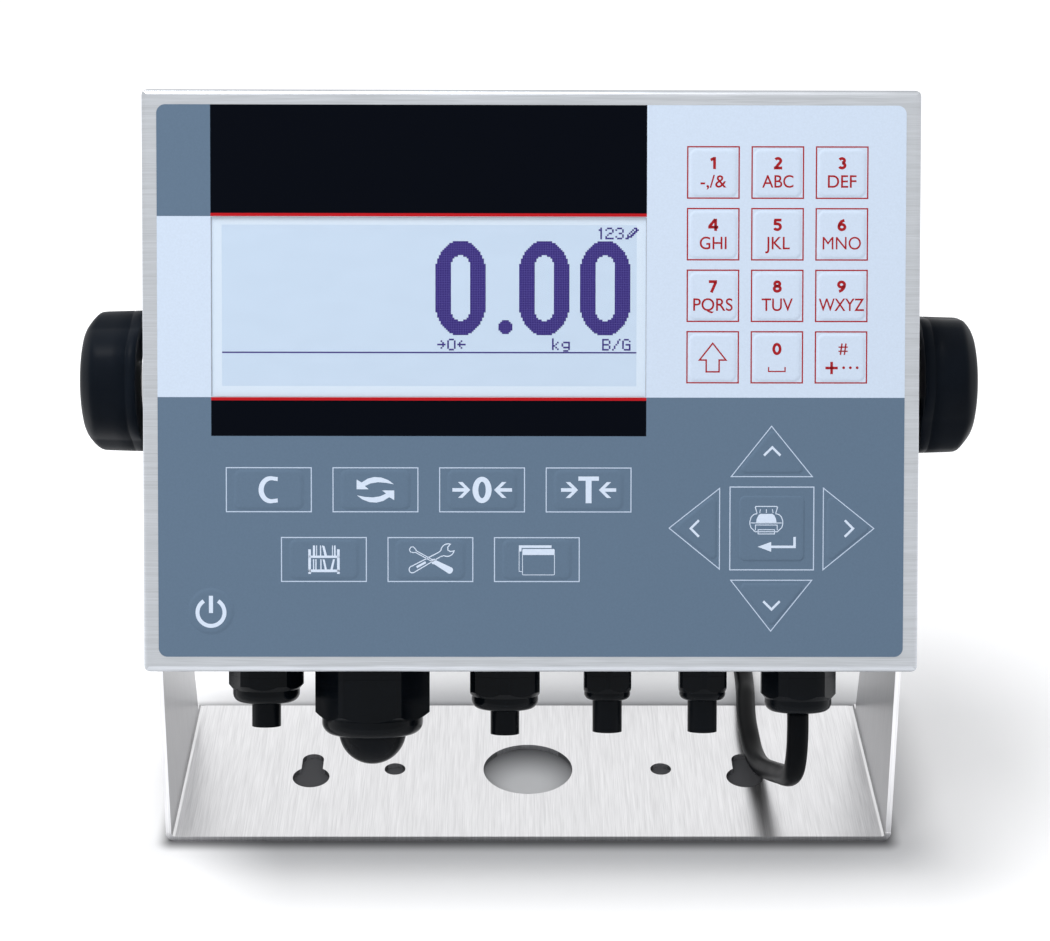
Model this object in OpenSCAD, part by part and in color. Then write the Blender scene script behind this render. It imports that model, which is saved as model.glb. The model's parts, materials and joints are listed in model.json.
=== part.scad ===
// Weighing indicator: a stainless steel housing that tilts in a bent sheet bracket between two
// clamping knobs, with a membrane keypad on its face and a row of cable glands along its bottom.
// Sizes are in millimetres. The origin is the centre of the large hole in the bracket's base, at
// its underside. X runs to the right, Y away from the viewer and Z up.

/* [Housing] */
// Width of the housing across its side walls
housing_w = 265; // [262:1:300]
// Height of the housing along its tilted face
housing_h = 198.4; // [190:0.2:230]
// Depth of the housing from its face to its rear wall
housing_d = 84; // [80:1:110]
// Depth of the front cover, up to the gasket
cover_d = 20; // [16:0.5:21]
// Thickness of the housing's steel walls
wall_t = 1.5; // [1:0.1:2]
// Radius of the housing's four long corners
corner_r = 2.7; // [2.2:0.1:6]
// Radius of the bends round the face and the rear wall
edge_r = 2.2; // [2.1:0.1:4]
// Width of the inward flanges that squeeze the gasket
flange_w = 9; // [6:0.5:9.5]
// Thickness of the housing gasket
gasket_t = 1.6; // [1:0.1:3]
// How far the gasket stays inside the housing's outline
gasket_inset = 0.6; // [0.2:0.1:2]
// Angle that the face leans back from upright at rest
housing_tilt = 23.9; // [0:0.1:45]
// Depth of the tilt axis behind the face
pivot_back = 45.6; // [42:0.2:60]

/* [Bracket] */
// Thickness of the bracket's sheet
sheet_t = 2; // [1.5:0.5:3]
// Inner radius of the bracket's bends
bend_r = 1.5; // [1:0.5:3]
// Distance from the large hole's centre to the base's front edge
base_front = 46; // [40:1:60]
// Distance from the large hole's centre to the base's back edge
base_back = 47.2; // [45:0.2:60]
// Radius of the base's back corners, which is also how far the arms stop short of the back edge
base_corner_r = 5; // [2:0.5:8]
// Radius of the arms' round ends
arm_end_r = 20; // [16:1:24]
// Place of the tilt axis along Y
pivot_y = -7.3; // [-12:0.1:8]
// Height of the tilt axis above the floor
pivot_z = 172; // [160:1:200]
// Diameter of the large hole in the base, which cables pass through
cable_hole_d = 35; // [20:1:45]
// Diameter of the two plain screw holes
screw_hole_d = 8.2; // [5:0.1:10]
// Distance between the two plain screw holes
screw_hole_pitch = 104.6; // [80:0.2:120]
// Diameter of the keyholes' round end
keyhole_d = 14.4; // [12:0.2:18]
// Width of the keyholes' neck
keyhole_neck_w = 8.4; // [5:0.1:10]
// Distance between the two keyholes
keyhole_pitch = 169.8; // [150:0.2:200]
// Place of the keyholes' round end along Y
keyhole_y = -5.7; // [-12:0.1:4]
// Distance from the keyholes' round end to the end of the neck, centre to centre
keyhole_run = 12.2; // [10:0.2:20]

/* [Tilt joint and knobs] */
// Thickness of the friction discs between the housing and the arms
disc_t = 1.8; // [1:0.1:4]
// Diameter of the friction discs
disc_d = 38; // [26:1:40]
// Diameter of the threaded inserts, on which the arms turn
insert_d = 13; // [11:0.5:18]
// Diameter of the flange of the threaded inserts
insert_flange_d = 19; // [16:1:24]
// Length of the threaded inserts inside the housing
insert_depth = 16; // [10:1:22]
// Diameter of the knobs' threaded studs
stud_d = 8; // [6:1:8]
// Length of each stud from the knob's base
stud_l = 18; // [12:1:20]
// Thickness of the washers under the knobs
washer_t = 1.5; // [1:0.1:2.5]
// Diameter of the washers under the knobs
washer_d = 24; // [18:1:30]
// Diameter of the knobs over their lobes
knob_d = 50; // [44:1:60]
// Height of the knobs from their base to the middle of their domed end
knob_h = 22; // [18:0.5:30]
// Number of lobes on a knob
knob_lobes = 6; // [5:1:7]
// Radius of each lobe
lobe_r = 9; // [7:0.5:10]
// Radius of the hollows between lobes
hollow_r = 8; // [6:0.5:12]
// Diameter of the round collar at the knobs' base
collar_d = 45; // [36:1:48]
// Height of that collar
collar_h = 2.5; // [1:0.5:5]
// Radius of the dome on the knobs' outer end
dome_r = 95; // [60:5:200]
// Radius of the rim round that dome
rim_r = 5; // [2:0.5:7]

/* [Control panel] */
// Bare steel between the panel and the housing's sides
panel_side = 5.4; // [3:0.1:8]
// Bare steel above and below the panel
panel_end = 5.4; // [3:0.1:8]
// Radius of the panel's corners
panel_r = 3; // [1:0.5:8]
// Thickness of the printed overlay film
overlay_t = 0.4; // [0.3:0.05:0.6]
// Thickness of the switch circuit under the overlay
circuit_t = 0.3; // [0.2:0.05:0.6]
// How far the circuit stays inside the overlay's outline
circuit_inset = 0.3; // [0.1:0.1:1]
// How far the key pads are raised above the overlay
pad_rise = 0.25; // [0.1:0.05:0.4]
// Travel of a key pad
pad_travel = 0.3; // [0.2:0.05:0.35]
// Gap round a key pad
pad_gap = 0.12; // [0.1:0.02:0.3]
// Radius of the pads' corners
pad_r = 1.6; // [0.5:0.1:3]
// Width of the display window
window_w = 148; // [130:1:150]
// Height of the display window
window_h = 61.3; // [50:0.1:62]
// Radius of the display window's corners
window_r = 0.6; // [0.2:0.1:2]

/* [Keys] */
// Side of the number keys' pads
number_pad = 14.8; // [12:0.1:16]
// Distance between number keys across
number_pitch_x = 21.85; // [20:0.05:23]
// Distance between number keys up and down
number_pitch_z = 20.87; // [19:0.01:22]
// Width of the function keys' pads
function_pad_w = 22; // [16:0.5:26]
// Height of the function keys' pads
function_pad_h = 12; // [8:0.5:14]
// Distance between function keys
function_pitch = 36.3; // [33:0.1:37]
// Side of the enter key's pad
enter_pad = 21.4; // [16:0.1:23]
// Distance from the enter key to the middle of the arrow keys' base side
arrow_reach = 19.4; // [18:0.1:21]
// Width of the arrow keys' base side
arrow_w = 22; // [16:0.5:23]
// Height of the arrow keys from base side to tip
arrow_h = 13.6; // [10:0.2:15]
// Diameter of the power key's pad
power_pad_d = 14; // [11:0.5:17]

/* [Cable glands] */
// Depth of the row of glands behind the face
gland_back = 44; // [42:0.5:50]
// Thickness of the flat seals under the glands
gland_seal_t = 1.2; // [0.8:0.1:2]
// How far the glands' fixed hexagons reach below the wall
gland_base_h = 6; // [4:0.5:8]
// Thread diameter of the medium glands
medium_thread_d = 20; // [18:1:22]
// Width across flats of the medium glands
medium_flats = 25; // [24:0.5:27]
// Diameter over the medium glands' rounded corners
medium_corner_d = 27; // [26:0.5:31]
// Diameter of the medium glands' round collar
medium_collar_d = 24; // [22:0.5:25]
// Thread diameter of the small glands
small_thread_d = 12; // [10:1:13]
// Width across flats of the small glands
small_flats = 17; // [15:0.5:19]
// Diameter over the small glands' rounded corners
small_corner_d = 18.6; // [18:0.2:20]
// Diameter of the small glands' round collar
small_collar_d = 16.6; // [14.5:0.1:17]
// Thread diameter of the large gland
large_thread_d = 32; // [30:1:33]
// Width across flats of the large gland
large_flats = 36.6; // [36:0.2:38]
// Diameter over the large gland's rounded corners
large_corner_d = 41.2; // [39:0.2:43]
// Diameter of the large gland's round collar
large_collar_d = 36.4; // [34:0.2:36.6]
// How far the left-hand gland's hexagon reaches below the wall
left_flats_end = 9.4; // [8:0.2:11]
// How far the signal gland's hexagon reaches below the wall
signal_flats_end = 11.9; // [10:0.2:13]
// How far the small glands' hexagons reach below the wall
small_flats_end = 10.4; // [9:0.2:12]
// How far the large gland's hexagon reaches below the wall
large_flats_end = 19.6; // [15:0.2:22]
// How far the mains lead's gland reaches below the wall with its hexagon
power_flats_end = 12.8; // [11:0.2:14]
// Length of the medium glands below their hexagon
medium_nose = 6.5; // [6:0.1:8]
// Length of the small glands below their hexagon
small_nose = 4.7; // [4.2:0.1:6]
// Length of the large gland below its hexagon
large_nose = 7.8; // [7.2:0.1:10]
// Height of the chamfer between a gland's hexagon and its collar
nose_chamfer = 1.8; // [1:0.1:2]
// Radius of the rounding on the medium glands' collar
medium_round = 3.2; // [2:0.1:4]
// Radius of the rounding on the small glands' collar
small_round = 2.1; // [1.5:0.1:2.2]
// Radius of the rounding on the large gland's collar
large_round = 4.2; // [3:0.1:5]
// Diameter of the blanking plugs in the medium glands
medium_plug_d = 10.4; // [8:0.1:12]
// Diameter of the heads of the blanking plugs in the small glands
small_plug_d = 10.6; // [8:0.1:12]
// Diameter of the stems of the blanking plugs in the small glands
small_stem_d = 6.2; // [5:0.1:7]
// Diameter of the domed plug in the large gland
ball_plug_d = 24.3; // [20:0.1:25]
// How far the left-hand gland's plug reaches below the wall
left_plug_end = 24.8; // [20:0.2:30]
// How far the signal gland's plug reaches below the wall
signal_plug_end = 27.6; // [22:0.2:30]
// How far the small glands' plugs reach below the wall
small_plug_end = 26.7; // [20:0.1:30]
// How far the domed plug reaches below the wall
ball_plug_end = 38.5; // [36:0.1:42]

/* [Mains lead] */
// Diameter of the mains lead
cord_d = 7.8; // [6:0.1:8.2]
// Radius of the outermost turn of the coil
coil_r = 55.5; // [52:0.5:62]
// Number of turns that the coil spirals inwards before it climbs
turns_in = 2.45; // [1:0.05:3]
// Number of turns that the coil spirals outwards after it has climbed
turns_out = 2.425; // [1:0.025:3]
// Gap between one turn of the coil and the next
turn_gap = 0.8; // [0.6:0.1:2]
// Length of the plug's grip
grip_l = 34; // [28:1:45]
// Width of the plug's grip
grip_w = 27; // [24:1:34]
// Length of the plug's tapered strain relief
relief_l = 22; // [20:1:40]

/* [Inside] */
// How far the display module reaches past the window all round
module_rim = 4.5; // [3:0.5:8]
// Thickness of the display module
module_t = 8; // [6:0.5:10]
// Depth of the main board behind the face
board_back = 24; // [20:0.5:28]
// Width of the main board
board_w = 196; // [180:1:204]
// How far the main board reaches above the display module
board_overhang = 14.5; // [12:0.5:18]
// Distance from the bottom of the housing to the main board
board_low = 24; // [22:0.5:30]
// Thickness of the boards
board_t = 1.6; // [1:0.2:2.4]
// Width of the power supply board
supply_w = 104; // [90:1:108]
// Height of the power supply board
supply_h = 72; // [60:1:90]
// Distance from the side of the housing to the power supply board
supply_side = 24.5; // [22.5:0.5:40]
// Distance from the bottom of the housing to the power supply board
supply_low = 35; // [25:1:60]
// Height of the spacers that carry the power supply board
supply_stand = 8; // [5:0.5:10]

/* [Hidden] */

// One overrun serves every cut, and one small gap every fit between pieces that don't move
cut = 1;
fit = 0.05;
// Gap between flat faces that slide on each other
slip = 0.1;
// Running clearance round the inserts in the arms' holes
bearing_gap = 0.06;
// Least radius inside a bend
least_r = 0.5;
// Quarter turn, half turn and full turn
quarter = 90;
half_turn = 180;
turn = 360;

// Face of the front cover and places behind it, along the housing's own Y
face_y = -pivot_back;
gasket_y = face_y + cover_d;
rear_y = face_y + housing_d;
inside_front_y = face_y + wall_t;
inside_rear_y = rear_y - wall_t;

// Inner and outer faces of the bracket's arms along X
arm_in = housing_w / 2 + disc_t + slip;
arm_out = arm_in + sheet_t;
arm_back = base_back - base_corner_r;
arm_hole_d = insert_d + 2 * bearing_gap;

// The control panel's layers in front of the face
panel_w = housing_w - 2 * panel_side;
panel_h = housing_h - 2 * panel_end;
circuit_y = face_y - circuit_t;
overlay_y = circuit_y - overlay_t;
pad_front_y = overlay_y - pad_rise;
pad_rest_gap = 0.02;
pad_back_y = circuit_y - pad_travel - pad_rest_gap;
arrow_pad_r = 1;

/*
 The window and the groups of keys share the panel. The free space is parted between and beside
 them by the shares below, from left to right and from top to bottom.
*/
window_row_shares = [0.3816, 0.3166, 0.3018];
function_row_shares = [0.466, 0.3237, 0.2103];
left_column_shares = [0.4264, 0.2894, 0.1336, 0.0532, 0.0974];
right_column_shares = [0.3492, 0.4019, 0.2489];

function sum_to(v, n) = n < 0 ? 0 : v[n] + sum_to(v, n - 1);

// Middle of the i-th of some pieces that share a span, from the middle of the span
function middle(i, sizes, shares, span) =
    sum_to(sizes, i) - sizes[i] / 2 - span / 2
    + (span - sum_to(sizes, len(sizes) - 1)) * sum_to(shares, i);

arrow_group = 2 * (arrow_reach + arrow_h);
window_row = [window_w, 2 * number_pitch_x + number_pad];
function_row = [3 * function_pitch + function_pad_w, arrow_group];
left_column = [window_h, function_pad_h, function_pad_h, power_pad_d];
right_column = [3 * number_pitch_z + number_pad, arrow_group];
window_x = middle(0, window_row, window_row_shares, panel_w);
number_x = middle(1, window_row, window_row_shares, panel_w);
function_x = middle(0, function_row, function_row_shares, panel_w);
enter_x = middle(1, function_row, function_row_shares, panel_w);
window_z = -middle(0, left_column, left_column_shares, panel_h);
upper_row_z = -middle(1, left_column, left_column_shares, panel_h);
lower_row_z = -middle(2, left_column, left_column_shares, panel_h);
power_z = -middle(3, left_column, left_column_shares, panel_h);
number_z = -middle(0, right_column, right_column_shares, panel_h);
enter_z = -middle(1, right_column, right_column_shares, panel_h);
lower_row_shift = 0.5;
power_side = 17.9;
power_x = power_side - panel_w / 2;

// Screws and posts that hold the two halves of the housing together
post_inset = 14;
post_d = 8;
post_hole_d = 4.1;
screw_d = 4;
screw_l = 18;
screw_head_d = 7.6;
screw_head_h = 2.2;
screw_socket_d = 2.6;
screw_socket_h = 1.2;

// Display module glass, which shows through the steel behind the window
sill = 2.5;
glass_w = window_w - 2 * sill;
glass_h = window_h - 2 * sill;

module_w = window_w + 2 * module_rim;
module_h = window_h + 2 * module_rim;

// Places of the boards, and of the spacers and parts on them
spacer_d = 6;
spacer_inset = 6;
board_top = window_z + module_h / 2 + board_overhang;
board_h = board_top - board_low + housing_h / 2;
board_z = board_top - board_h / 2;
supply_x = housing_w / 2 - supply_side - supply_w / 2;
supply_z = supply_low + supply_h / 2 - housing_h / 2;
supply_back_y = inside_rear_y - supply_stand;
chip_h = 2;
socket_h = 9;

// Knob stack outwards from an arm
washer_start = slip;
knob_start = washer_start + washer_t + slip;
stud_hold = 12;
// How far the knobs' rim lies outside their lobes, so that it cuts them cleanly
rim_slack = 0.6;

// Mains lead
cord_r = cord_d / 2;
cord_sides = 8;
coil_sides = 6;
rings_per_turn = 24;
lead_r = cord_r;
lead_inside = 14;

/*
 The lead's free stretch, from the gland's mouth down on to the base, over its back edge and along
 the floor to the coil. Points are chosen by hand, a lead's radius and a hair above what it lies on.
*/
CORD_ROUTE = [[96.8, -56.8, 64.2], [96.8, -60, 57], [96.7, -61.2, 49], [96.5, -59.2, 41],
    [96.1, -54, 34.8], [95.4, -46.8, 29.8], [94.4, -37.6, 24.6], [93.2, -28.4, 19.4],
    [92, -19.2, 14.4], [90.8, -10, 10], [89.8, -1, 7.2], [89.1, 8, 6], [88.8, 18, 6],
    [88.7, 29, 6], [89.2, 40, 6], [89.9, 49, 5.8], [90.5, 58, 4.6], [90.9, 68, 4], [91, 88, 4],
    [91, 108, 4], [91, 128, 4]];

// The coil starts where the free stretch ends
coil_start = CORD_ROUTE[len(CORD_ROUTE) - 1];
coil_run_in = 10;
coil_run_out = 20;
turn_pitch = cord_d + turn_gap;
layer_rise = turn_pitch;
coil_x = coil_start.x - coil_r;
coil_y = coil_start.y + coil_run_in;
climb_turns = 0.5;
turns = turns_in + climb_turns + turns_out;
turning_point = turns_in + climb_turns / 2;

// The plug lies level with the coil's upper layer
plug_z = coil_start.z + layer_rise;
grip_h = 2 * plug_z - slip;
grip_r = 4;
pin_flat_w = 6.3;
pin_flat_t = 1.5;
pin_flat_l = 16;
pin_spread = 12.7;
earth_pin_d = 4.8;
earth_pin_l = 18;
earth_offset = 8;
pin_lift = 3.4;

// Shared shapes

module rounded_rect(w, h, r) {
    square([w - 2 * r, h], center = true);
    square([w, h - 2 * r], center = true);
    for (sx = [-1, 1], sy = [-1, 1])
        translate([sx * (w / 2 - r), sy * (h / 2 - r)]) circle(r = r, $fn = 32);
}

// Rectangle from y = 0 up to y = depth whose two corners at y = 0 are round
module round_end(w, depth, r) {
    translate([-w / 2, r]) square([w, depth - r]);
    translate([-w / 2 + r, 0]) square([w - 2 * r, depth]);
    for (side = [-1, 1])
        translate([side * (w / 2 - r), r]) circle(r = r, $fn = 32);
}

// Profile drawn in X and Z, pulled along Y from y0 to y1
module along_y(y0, y1) {
    translate([0, y1, 0]) rotate([quarter, 0, 0]) linear_extrude(height = y1 - y0) children();
}

// Profile drawn in Y and Z, pulled along X on both sides of the middle
module along_x(reach) {
    rotate([quarter, 0, quarter]) linear_extrude(height = 2 * reach, center = true) children();
}

// Block with round long corners and a bent edge all round its face at y = 0
module bent_block(w, h, depth, long_r, bend) {
    intersection() {
        linear_extrude(height = h, center = true) round_end(w, depth, bend);
        rotate([0, -quarter, 0]) linear_extrude(height = w, center = true)
            round_end(h, depth, bend);
        along_y(0, depth) rounded_rect(w, h, long_r);
    }
}

// Tray of bent sheet, open at y = depth, with an inward flange round its open side
module flanged_tray(depth) {
    inner_long_r = max(corner_r - wall_t, least_r);
    inner_bend = max(edge_r - wall_t, least_r);
    difference() {
        bent_block(housing_w, housing_h, depth, corner_r, edge_r);
        difference() {
            translate([0, wall_t, 0])
                bent_block(housing_w - 2 * wall_t, housing_h - 2 * wall_t, depth, inner_long_r,
                    inner_bend);
            along_y(depth - wall_t, depth + wall_t + cut) difference() {
                square([housing_w + cut, housing_h + cut], center = true);
                rounded_rect(housing_w - 2 * flange_w, housing_h - 2 * flange_w, corner_r);
            }
        }
    }
}

// Puts pieces drawn round the tilt axis into the leaning housing
module in_housing() {
    translate([0, pivot_y, pivot_z]) rotate([-housing_tilt, 0, 0]) children();
}

// Places at the four posts, in X and Z
module at_posts() {
    for (sx = [-1, 1], sz = [-1, 1])
        translate([sx * (housing_w / 2 - post_inset), 0, sz * (housing_h / 2 - post_inset)])
            children();
}

// Cylinder along Y from y0 to y1
module rod_y(d, y0, y1, sides = 48) {
    translate([0, y0, 0]) rotate([-quarter, 0, 0]) cylinder(d = d, h = y1 - y0, $fn = sides);
}

// Puts pieces drawn outwards along Z on to the tilt axis, with z = 0 at an arm's outer face
module at_arm(side) {
    in_housing() mirror([side < 0 ? 1 : 0, 0, 0]) translate([arm_out, 0, 0])
        rotate([0, quarter, 0]) children();
}

// Bracket

function tangent_point(p, centre, r, side) =
    let (d = centre - p, reach = sqrt(norm(d) * norm(d) - r * r),
        angle = atan2(d.y, d.x) + side * asin(r / norm(d)))
    p + reach * [cos(angle), sin(angle)];

module arm_outline() {
    front_foot = [-base_front, 0];
    back_foot = [arm_back, 0];
    pivot = [pivot_y, pivot_z];
    polygon([front_foot, back_foot, tangent_point(back_foot, pivot, arm_end_r, -1), pivot,
        tangent_point(front_foot, pivot, arm_end_r, 1)]);
    translate(pivot) circle(r = arm_end_r, $fn = 96);
}

module bent_strip(half_w, r) {
    top = pivot_z + arm_end_r + cut;
    translate([-half_w, r]) square([2 * half_w, top - r]);
    translate([-half_w + r, 0]) square([2 * (half_w - r), top]);
    for (side = [-1, 1])
        translate([side * (half_w - r), r]) circle(r = r, $fn = 48);
}

module base_outline() {
    translate([-arm_out, -base_front]) square([2 * arm_out, base_front + arm_back]);
    translate([-arm_out + base_corner_r, -base_front])
        square([2 * (arm_out - base_corner_r), base_front + base_back]);
    for (side = [-1, 1])
        translate([side * (arm_out - base_corner_r), arm_back])
            circle(r = base_corner_r, $fn = 48);
}

module base_holes() {
    circle(d = cable_hole_d, $fn = 96);
    for (side = [-1, 1]) {
        translate([side * screw_hole_pitch / 2, 0]) circle(d = screw_hole_d, $fn = 48);
        translate([side * keyhole_pitch / 2, keyhole_y]) {
            circle(d = keyhole_d, $fn = 48);
            translate([-keyhole_neck_w / 2, 0]) square([keyhole_neck_w, keyhole_run]);
            translate([0, keyhole_run]) circle(d = keyhole_neck_w, $fn = 48);
        }
    }
}

module bracket() {
    color("lightgray") difference() {
        intersection() {
            along_y(-base_front, base_back) difference() {
                bent_strip(arm_out, bend_r + sheet_t);
                translate([0, sheet_t]) bent_strip(arm_in, bend_r);
            }
            union() {
                linear_extrude(height = sheet_t + bend_r) base_outline();
                along_x(arm_out) arm_outline();
            }
        }
        translate([0, 0, -cut]) linear_extrude(height = sheet_t + 2 * cut) base_holes();
        translate([0, pivot_y, pivot_z]) rotate([0, quarter, 0])
            cylinder(d = arm_hole_d, h = 2 * (arm_out + cut), center = true, $fn = 64);
    }
}

// Housing

module front_housing() {
    color("silver") in_housing() {
        difference() {
            translate([0, face_y, 0]) flanged_tray(cover_d);
            translate([window_x, 0, window_z]) along_y(face_y - cut, inside_front_y + cut)
                square([glass_w + 2 * slip, glass_h + 2 * slip], center = true);
        }
        at_posts() difference() {
            rod_y(post_d, inside_front_y, inside_rear_y - fit);
            rod_y(post_hole_d, inside_rear_y - screw_l, inside_rear_y + cut);
        }
    }
}

module housing_gasket() {
    color("dimgray") in_housing() along_y(gasket_y, gasket_y + gasket_t) difference() {
        rounded_rect(housing_w - 2 * gasket_inset, housing_h - 2 * gasket_inset, corner_r);
        rounded_rect(housing_w - 2 * flange_w, housing_h - 2 * flange_w, corner_r);
    }
}

module rear_housing() {
    color("silver") in_housing() difference() {
        translate([0, rear_y, 0]) mirror([0, 1, 0])
            flanged_tray(housing_d - cover_d - gasket_t);
        at_posts() rod_y(post_hole_d, inside_rear_y - cut, rear_y + cut);
        rotate([0, quarter, 0])
            cylinder(d = insert_d + 2 * fit, h = housing_w + 2 * cut, center = true, $fn = 64);
        for (g = GLANDS)
            at_gland(g[0]) translate([0, 0, -wall_t - cut])
                cylinder(d = g[1] + 2 * fit, h = wall_t + 2 * cut, $fn = 64);
    }
}

module housing_screws() {
    color("gainsboro") in_housing() at_posts() {
        rod_y(screw_d, inside_rear_y - screw_l + cut, rear_y + fit);
        difference() {
            translate([0, rear_y + fit, 0]) rotate([-quarter, 0, 0]) rotate_extrude($fn = 48)
                intersection() {
                    translate([0, -screw_head_d + screw_head_h]) circle(r = screw_head_d, $fn = 64);
                    square([screw_head_d / 2, screw_head_h]);
                }
            translate([0, rear_y + screw_head_h - screw_socket_h, 0]) rotate([-quarter, 0, 0])
                cylinder(d = screw_socket_d, h = screw_socket_h + cut, $fn = 6);
        }
    }
}

// Tilt joint, with each piece drawn outwards along Z from an arm's outer face

module knob_inserts() {
    outer_end = -bearing_gap;
    wall_in = -sheet_t - slip - disc_t - wall_t;
    inner_end = wall_in - insert_depth;
    flange_t = 3;
    color("darkgray") for (side = [-1, 1]) at_arm(side) difference() {
        union() {
            translate([0, 0, inner_end])
                cylinder(d = insert_d, h = outer_end - inner_end, $fn = 64);
            translate([0, 0, wall_in - flange_t])
                cylinder(d = insert_flange_d, h = flange_t, $fn = 64);
        }
        translate([0, 0, inner_end - cut])
            cylinder(d = stud_d + 2 * slip, h = outer_end - inner_end + 2 * cut, $fn = 64);
    }
}

module friction_discs() {
    color("dimgray") for (side = [-1, 1])
        at_arm(side) translate([0, 0, -sheet_t - slip - disc_t]) difference() {
            cylinder(d = disc_d, h = disc_t, $fn = 96);
            translate([0, 0, -cut])
                cylinder(d = insert_d + 2 * slip, h = disc_t + 2 * cut, $fn = 64);
        }
}

module knob_washer(side) {
    color("gainsboro") at_arm(side) translate([0, 0, washer_start]) difference() {
        cylinder(d = washer_d, h = washer_t, $fn = 64);
        translate([0, 0, -cut]) cylinder(d = stud_d + 4 * slip, h = washer_t + 2 * cut, $fn = 48);
    }
}

module lobe_outline() {
    centre = knob_d / 2 - lobe_r;
    step = turn / knob_lobes;
    across = centre * cos(step / 2);
    hollow = across + sqrt(across * across - centre * centre
        + (lobe_r + hollow_r) * (lobe_r + hollow_r));
    difference() {
        union() {
            polygon([for (i = [0:knob_lobes - 1], j = [0, 1])
                let (angle = (i + j / 2) * step, reach = j == 0 ? centre : hollow)
                reach * [cos(angle), sin(angle)]]);
            for (i = [0:knob_lobes - 1])
                rotate(i * step) translate([centre, 0]) circle(r = lobe_r, $fn = 64);
        }
        for (i = [0:knob_lobes - 1])
            rotate((i + 1 / 2) * step) translate([hollow, 0]) circle(r = hollow_r, $fn = 64);
    }
}

// Side view of a knob: a dome that meets the sides in a round rim, just outside the lobes
module knob_profile() {
    reach = knob_d / 2 + rim_slack;
    intersection() {
        union() {
            square([reach - rim_r, knob_h]);
            square([reach, knob_h - 2 * rim_r]);
            translate([reach - rim_r, knob_h - 2 * rim_r]) circle(r = rim_r, $fn = 48);
        }
        translate([0, knob_h - dome_r]) circle(r = dome_r, $fn = 180);
        square([knob_d, knob_h]);
    }
}

module knob(side) {
    color("#1c1f22") at_arm(side) translate([0, 0, knob_start]) difference() {
        intersection() {
            rotate_extrude($fn = 96) knob_profile();
            union() {
                cylinder(d = collar_d, h = collar_h + cut, $fn = 96);
                translate([0, 0, collar_h]) linear_extrude(height = knob_h) lobe_outline();
            }
        }
        translate([0, 0, -cut]) cylinder(d = stud_d + 2 * fit, h = stud_hold + cut, $fn = 48);
    }
}

module knob_stud(side) {
    color("gainsboro") at_arm(side) translate([0, 0, knob_start - stud_l])
        cylinder(d = stud_d, h = stud_l + stud_hold - fit, $fn = 48);
}

// Control panel and display

module panel_outline(inset) {
    rounded_rect(panel_w - 2 * inset, panel_h - 2 * inset, panel_r);
}

module window_outline(gap) {
    translate([window_x, window_z])
        rounded_rect(window_w + 2 * gap, window_h + 2 * gap, window_r + gap);
}

module control_panel() {
    color("slategray") in_housing() along_y(overlay_y, circuit_y) difference() {
        panel_outline(0);
        window_outline(fit);
        all_pads(pad_gap);
    }
}

module display_window() {
    color("lightsteelblue") in_housing() along_y(overlay_y, face_y - fit) window_outline(0);
}

module keypad_circuit() {
    color("darkslategray") in_housing() along_y(circuit_y, face_y) difference() {
        panel_outline(circuit_inset);
        window_outline(fit);
    }
}

module display_module() {
    color("lightblue") in_housing() translate([window_x, 0, window_z]) {
        along_y(face_y, inside_front_y + slip) square([glass_w, glass_h], center = true);
        along_y(inside_front_y + slip, inside_front_y + module_t)
            square([module_w, module_h], center = true);
    }
}

// Pads of the keys, as outlines in X and Z

module square_pad(w, h, gap) {
    rounded_rect(w + 2 * gap, h + 2 * gap, pad_r + gap);
}

// Triangle with round corners that points up from its base side's middle
module arrow_pad(gap) {
    inner = arrow_pad_r / tan((quarter - atan(arrow_w / 2 / arrow_h)) / 2);
    drop = arrow_pad_r / sin(atan(arrow_w / 2 / arrow_h));
    left = [-arrow_w / 2 + inner, arrow_pad_r];
    right = [arrow_w / 2 - inner, arrow_pad_r];
    tip = [0, arrow_h - drop];
    r = arrow_pad_r + gap;
    slope = atan2(tip.y - right.y, tip.x - right.x) - quarter;
    out = r * [cos(slope), sin(slope)];
    polygon([left - [0, r], right - [0, r], right + out, tip + out, tip + [-out.x, out.y],
        left + [-out.x, out.y]]);
    for (p = [left, right, tip])
        translate(p) circle(r = r, $fn = 32);
}

module number_pad(column, row, gap) {
    translate([number_x + column * number_pitch_x, number_z + (1 / 2 - row) * number_pitch_z])
        square_pad(number_pad, number_pad, gap);
}

module upper_pad(i, gap) {
    translate([function_x + (i - 3 / 2) * function_pitch, upper_row_z])
        square_pad(function_pad_w, function_pad_h, gap);
}

module lower_pad(i, gap) {
    translate([function_x + lower_row_shift + (i - 1) * function_pitch, lower_row_z])
        square_pad(function_pad_w, function_pad_h, gap);
}

module enter_key_pad(gap) {
    translate([enter_x, enter_z]) square_pad(enter_pad, enter_pad, gap);
}

module arrow_key_pad(angle, gap) {
    translate([enter_x, enter_z]) rotate(angle) translate([0, arrow_reach]) arrow_pad(gap);
}

module power_key_pad(gap) {
    translate([power_x, power_z]) circle(d = power_pad_d + 2 * gap, $fn = 64);
}

module all_pads(gap) {
    for (column = [-1:1], row = [-1:2])
        number_pad(column, row, gap);
    for (i = [0:3])
        upper_pad(i, gap);
    for (i = [0:2])
        lower_pad(i, gap);
    for (angle = [0, quarter, half_turn, -quarter])
        arrow_key_pad(angle, gap);
    enter_key_pad(gap);
    power_key_pad(gap);
}

module key(tone) {
    color(tone) in_housing() along_y(pad_front_y, pad_back_y) children();
}

// Boards inside

module board_part(x, z, w, h, y0, y1) {
    translate([x, 0, z]) along_y(y0, y1) square([w, h], center = true);
}

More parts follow.
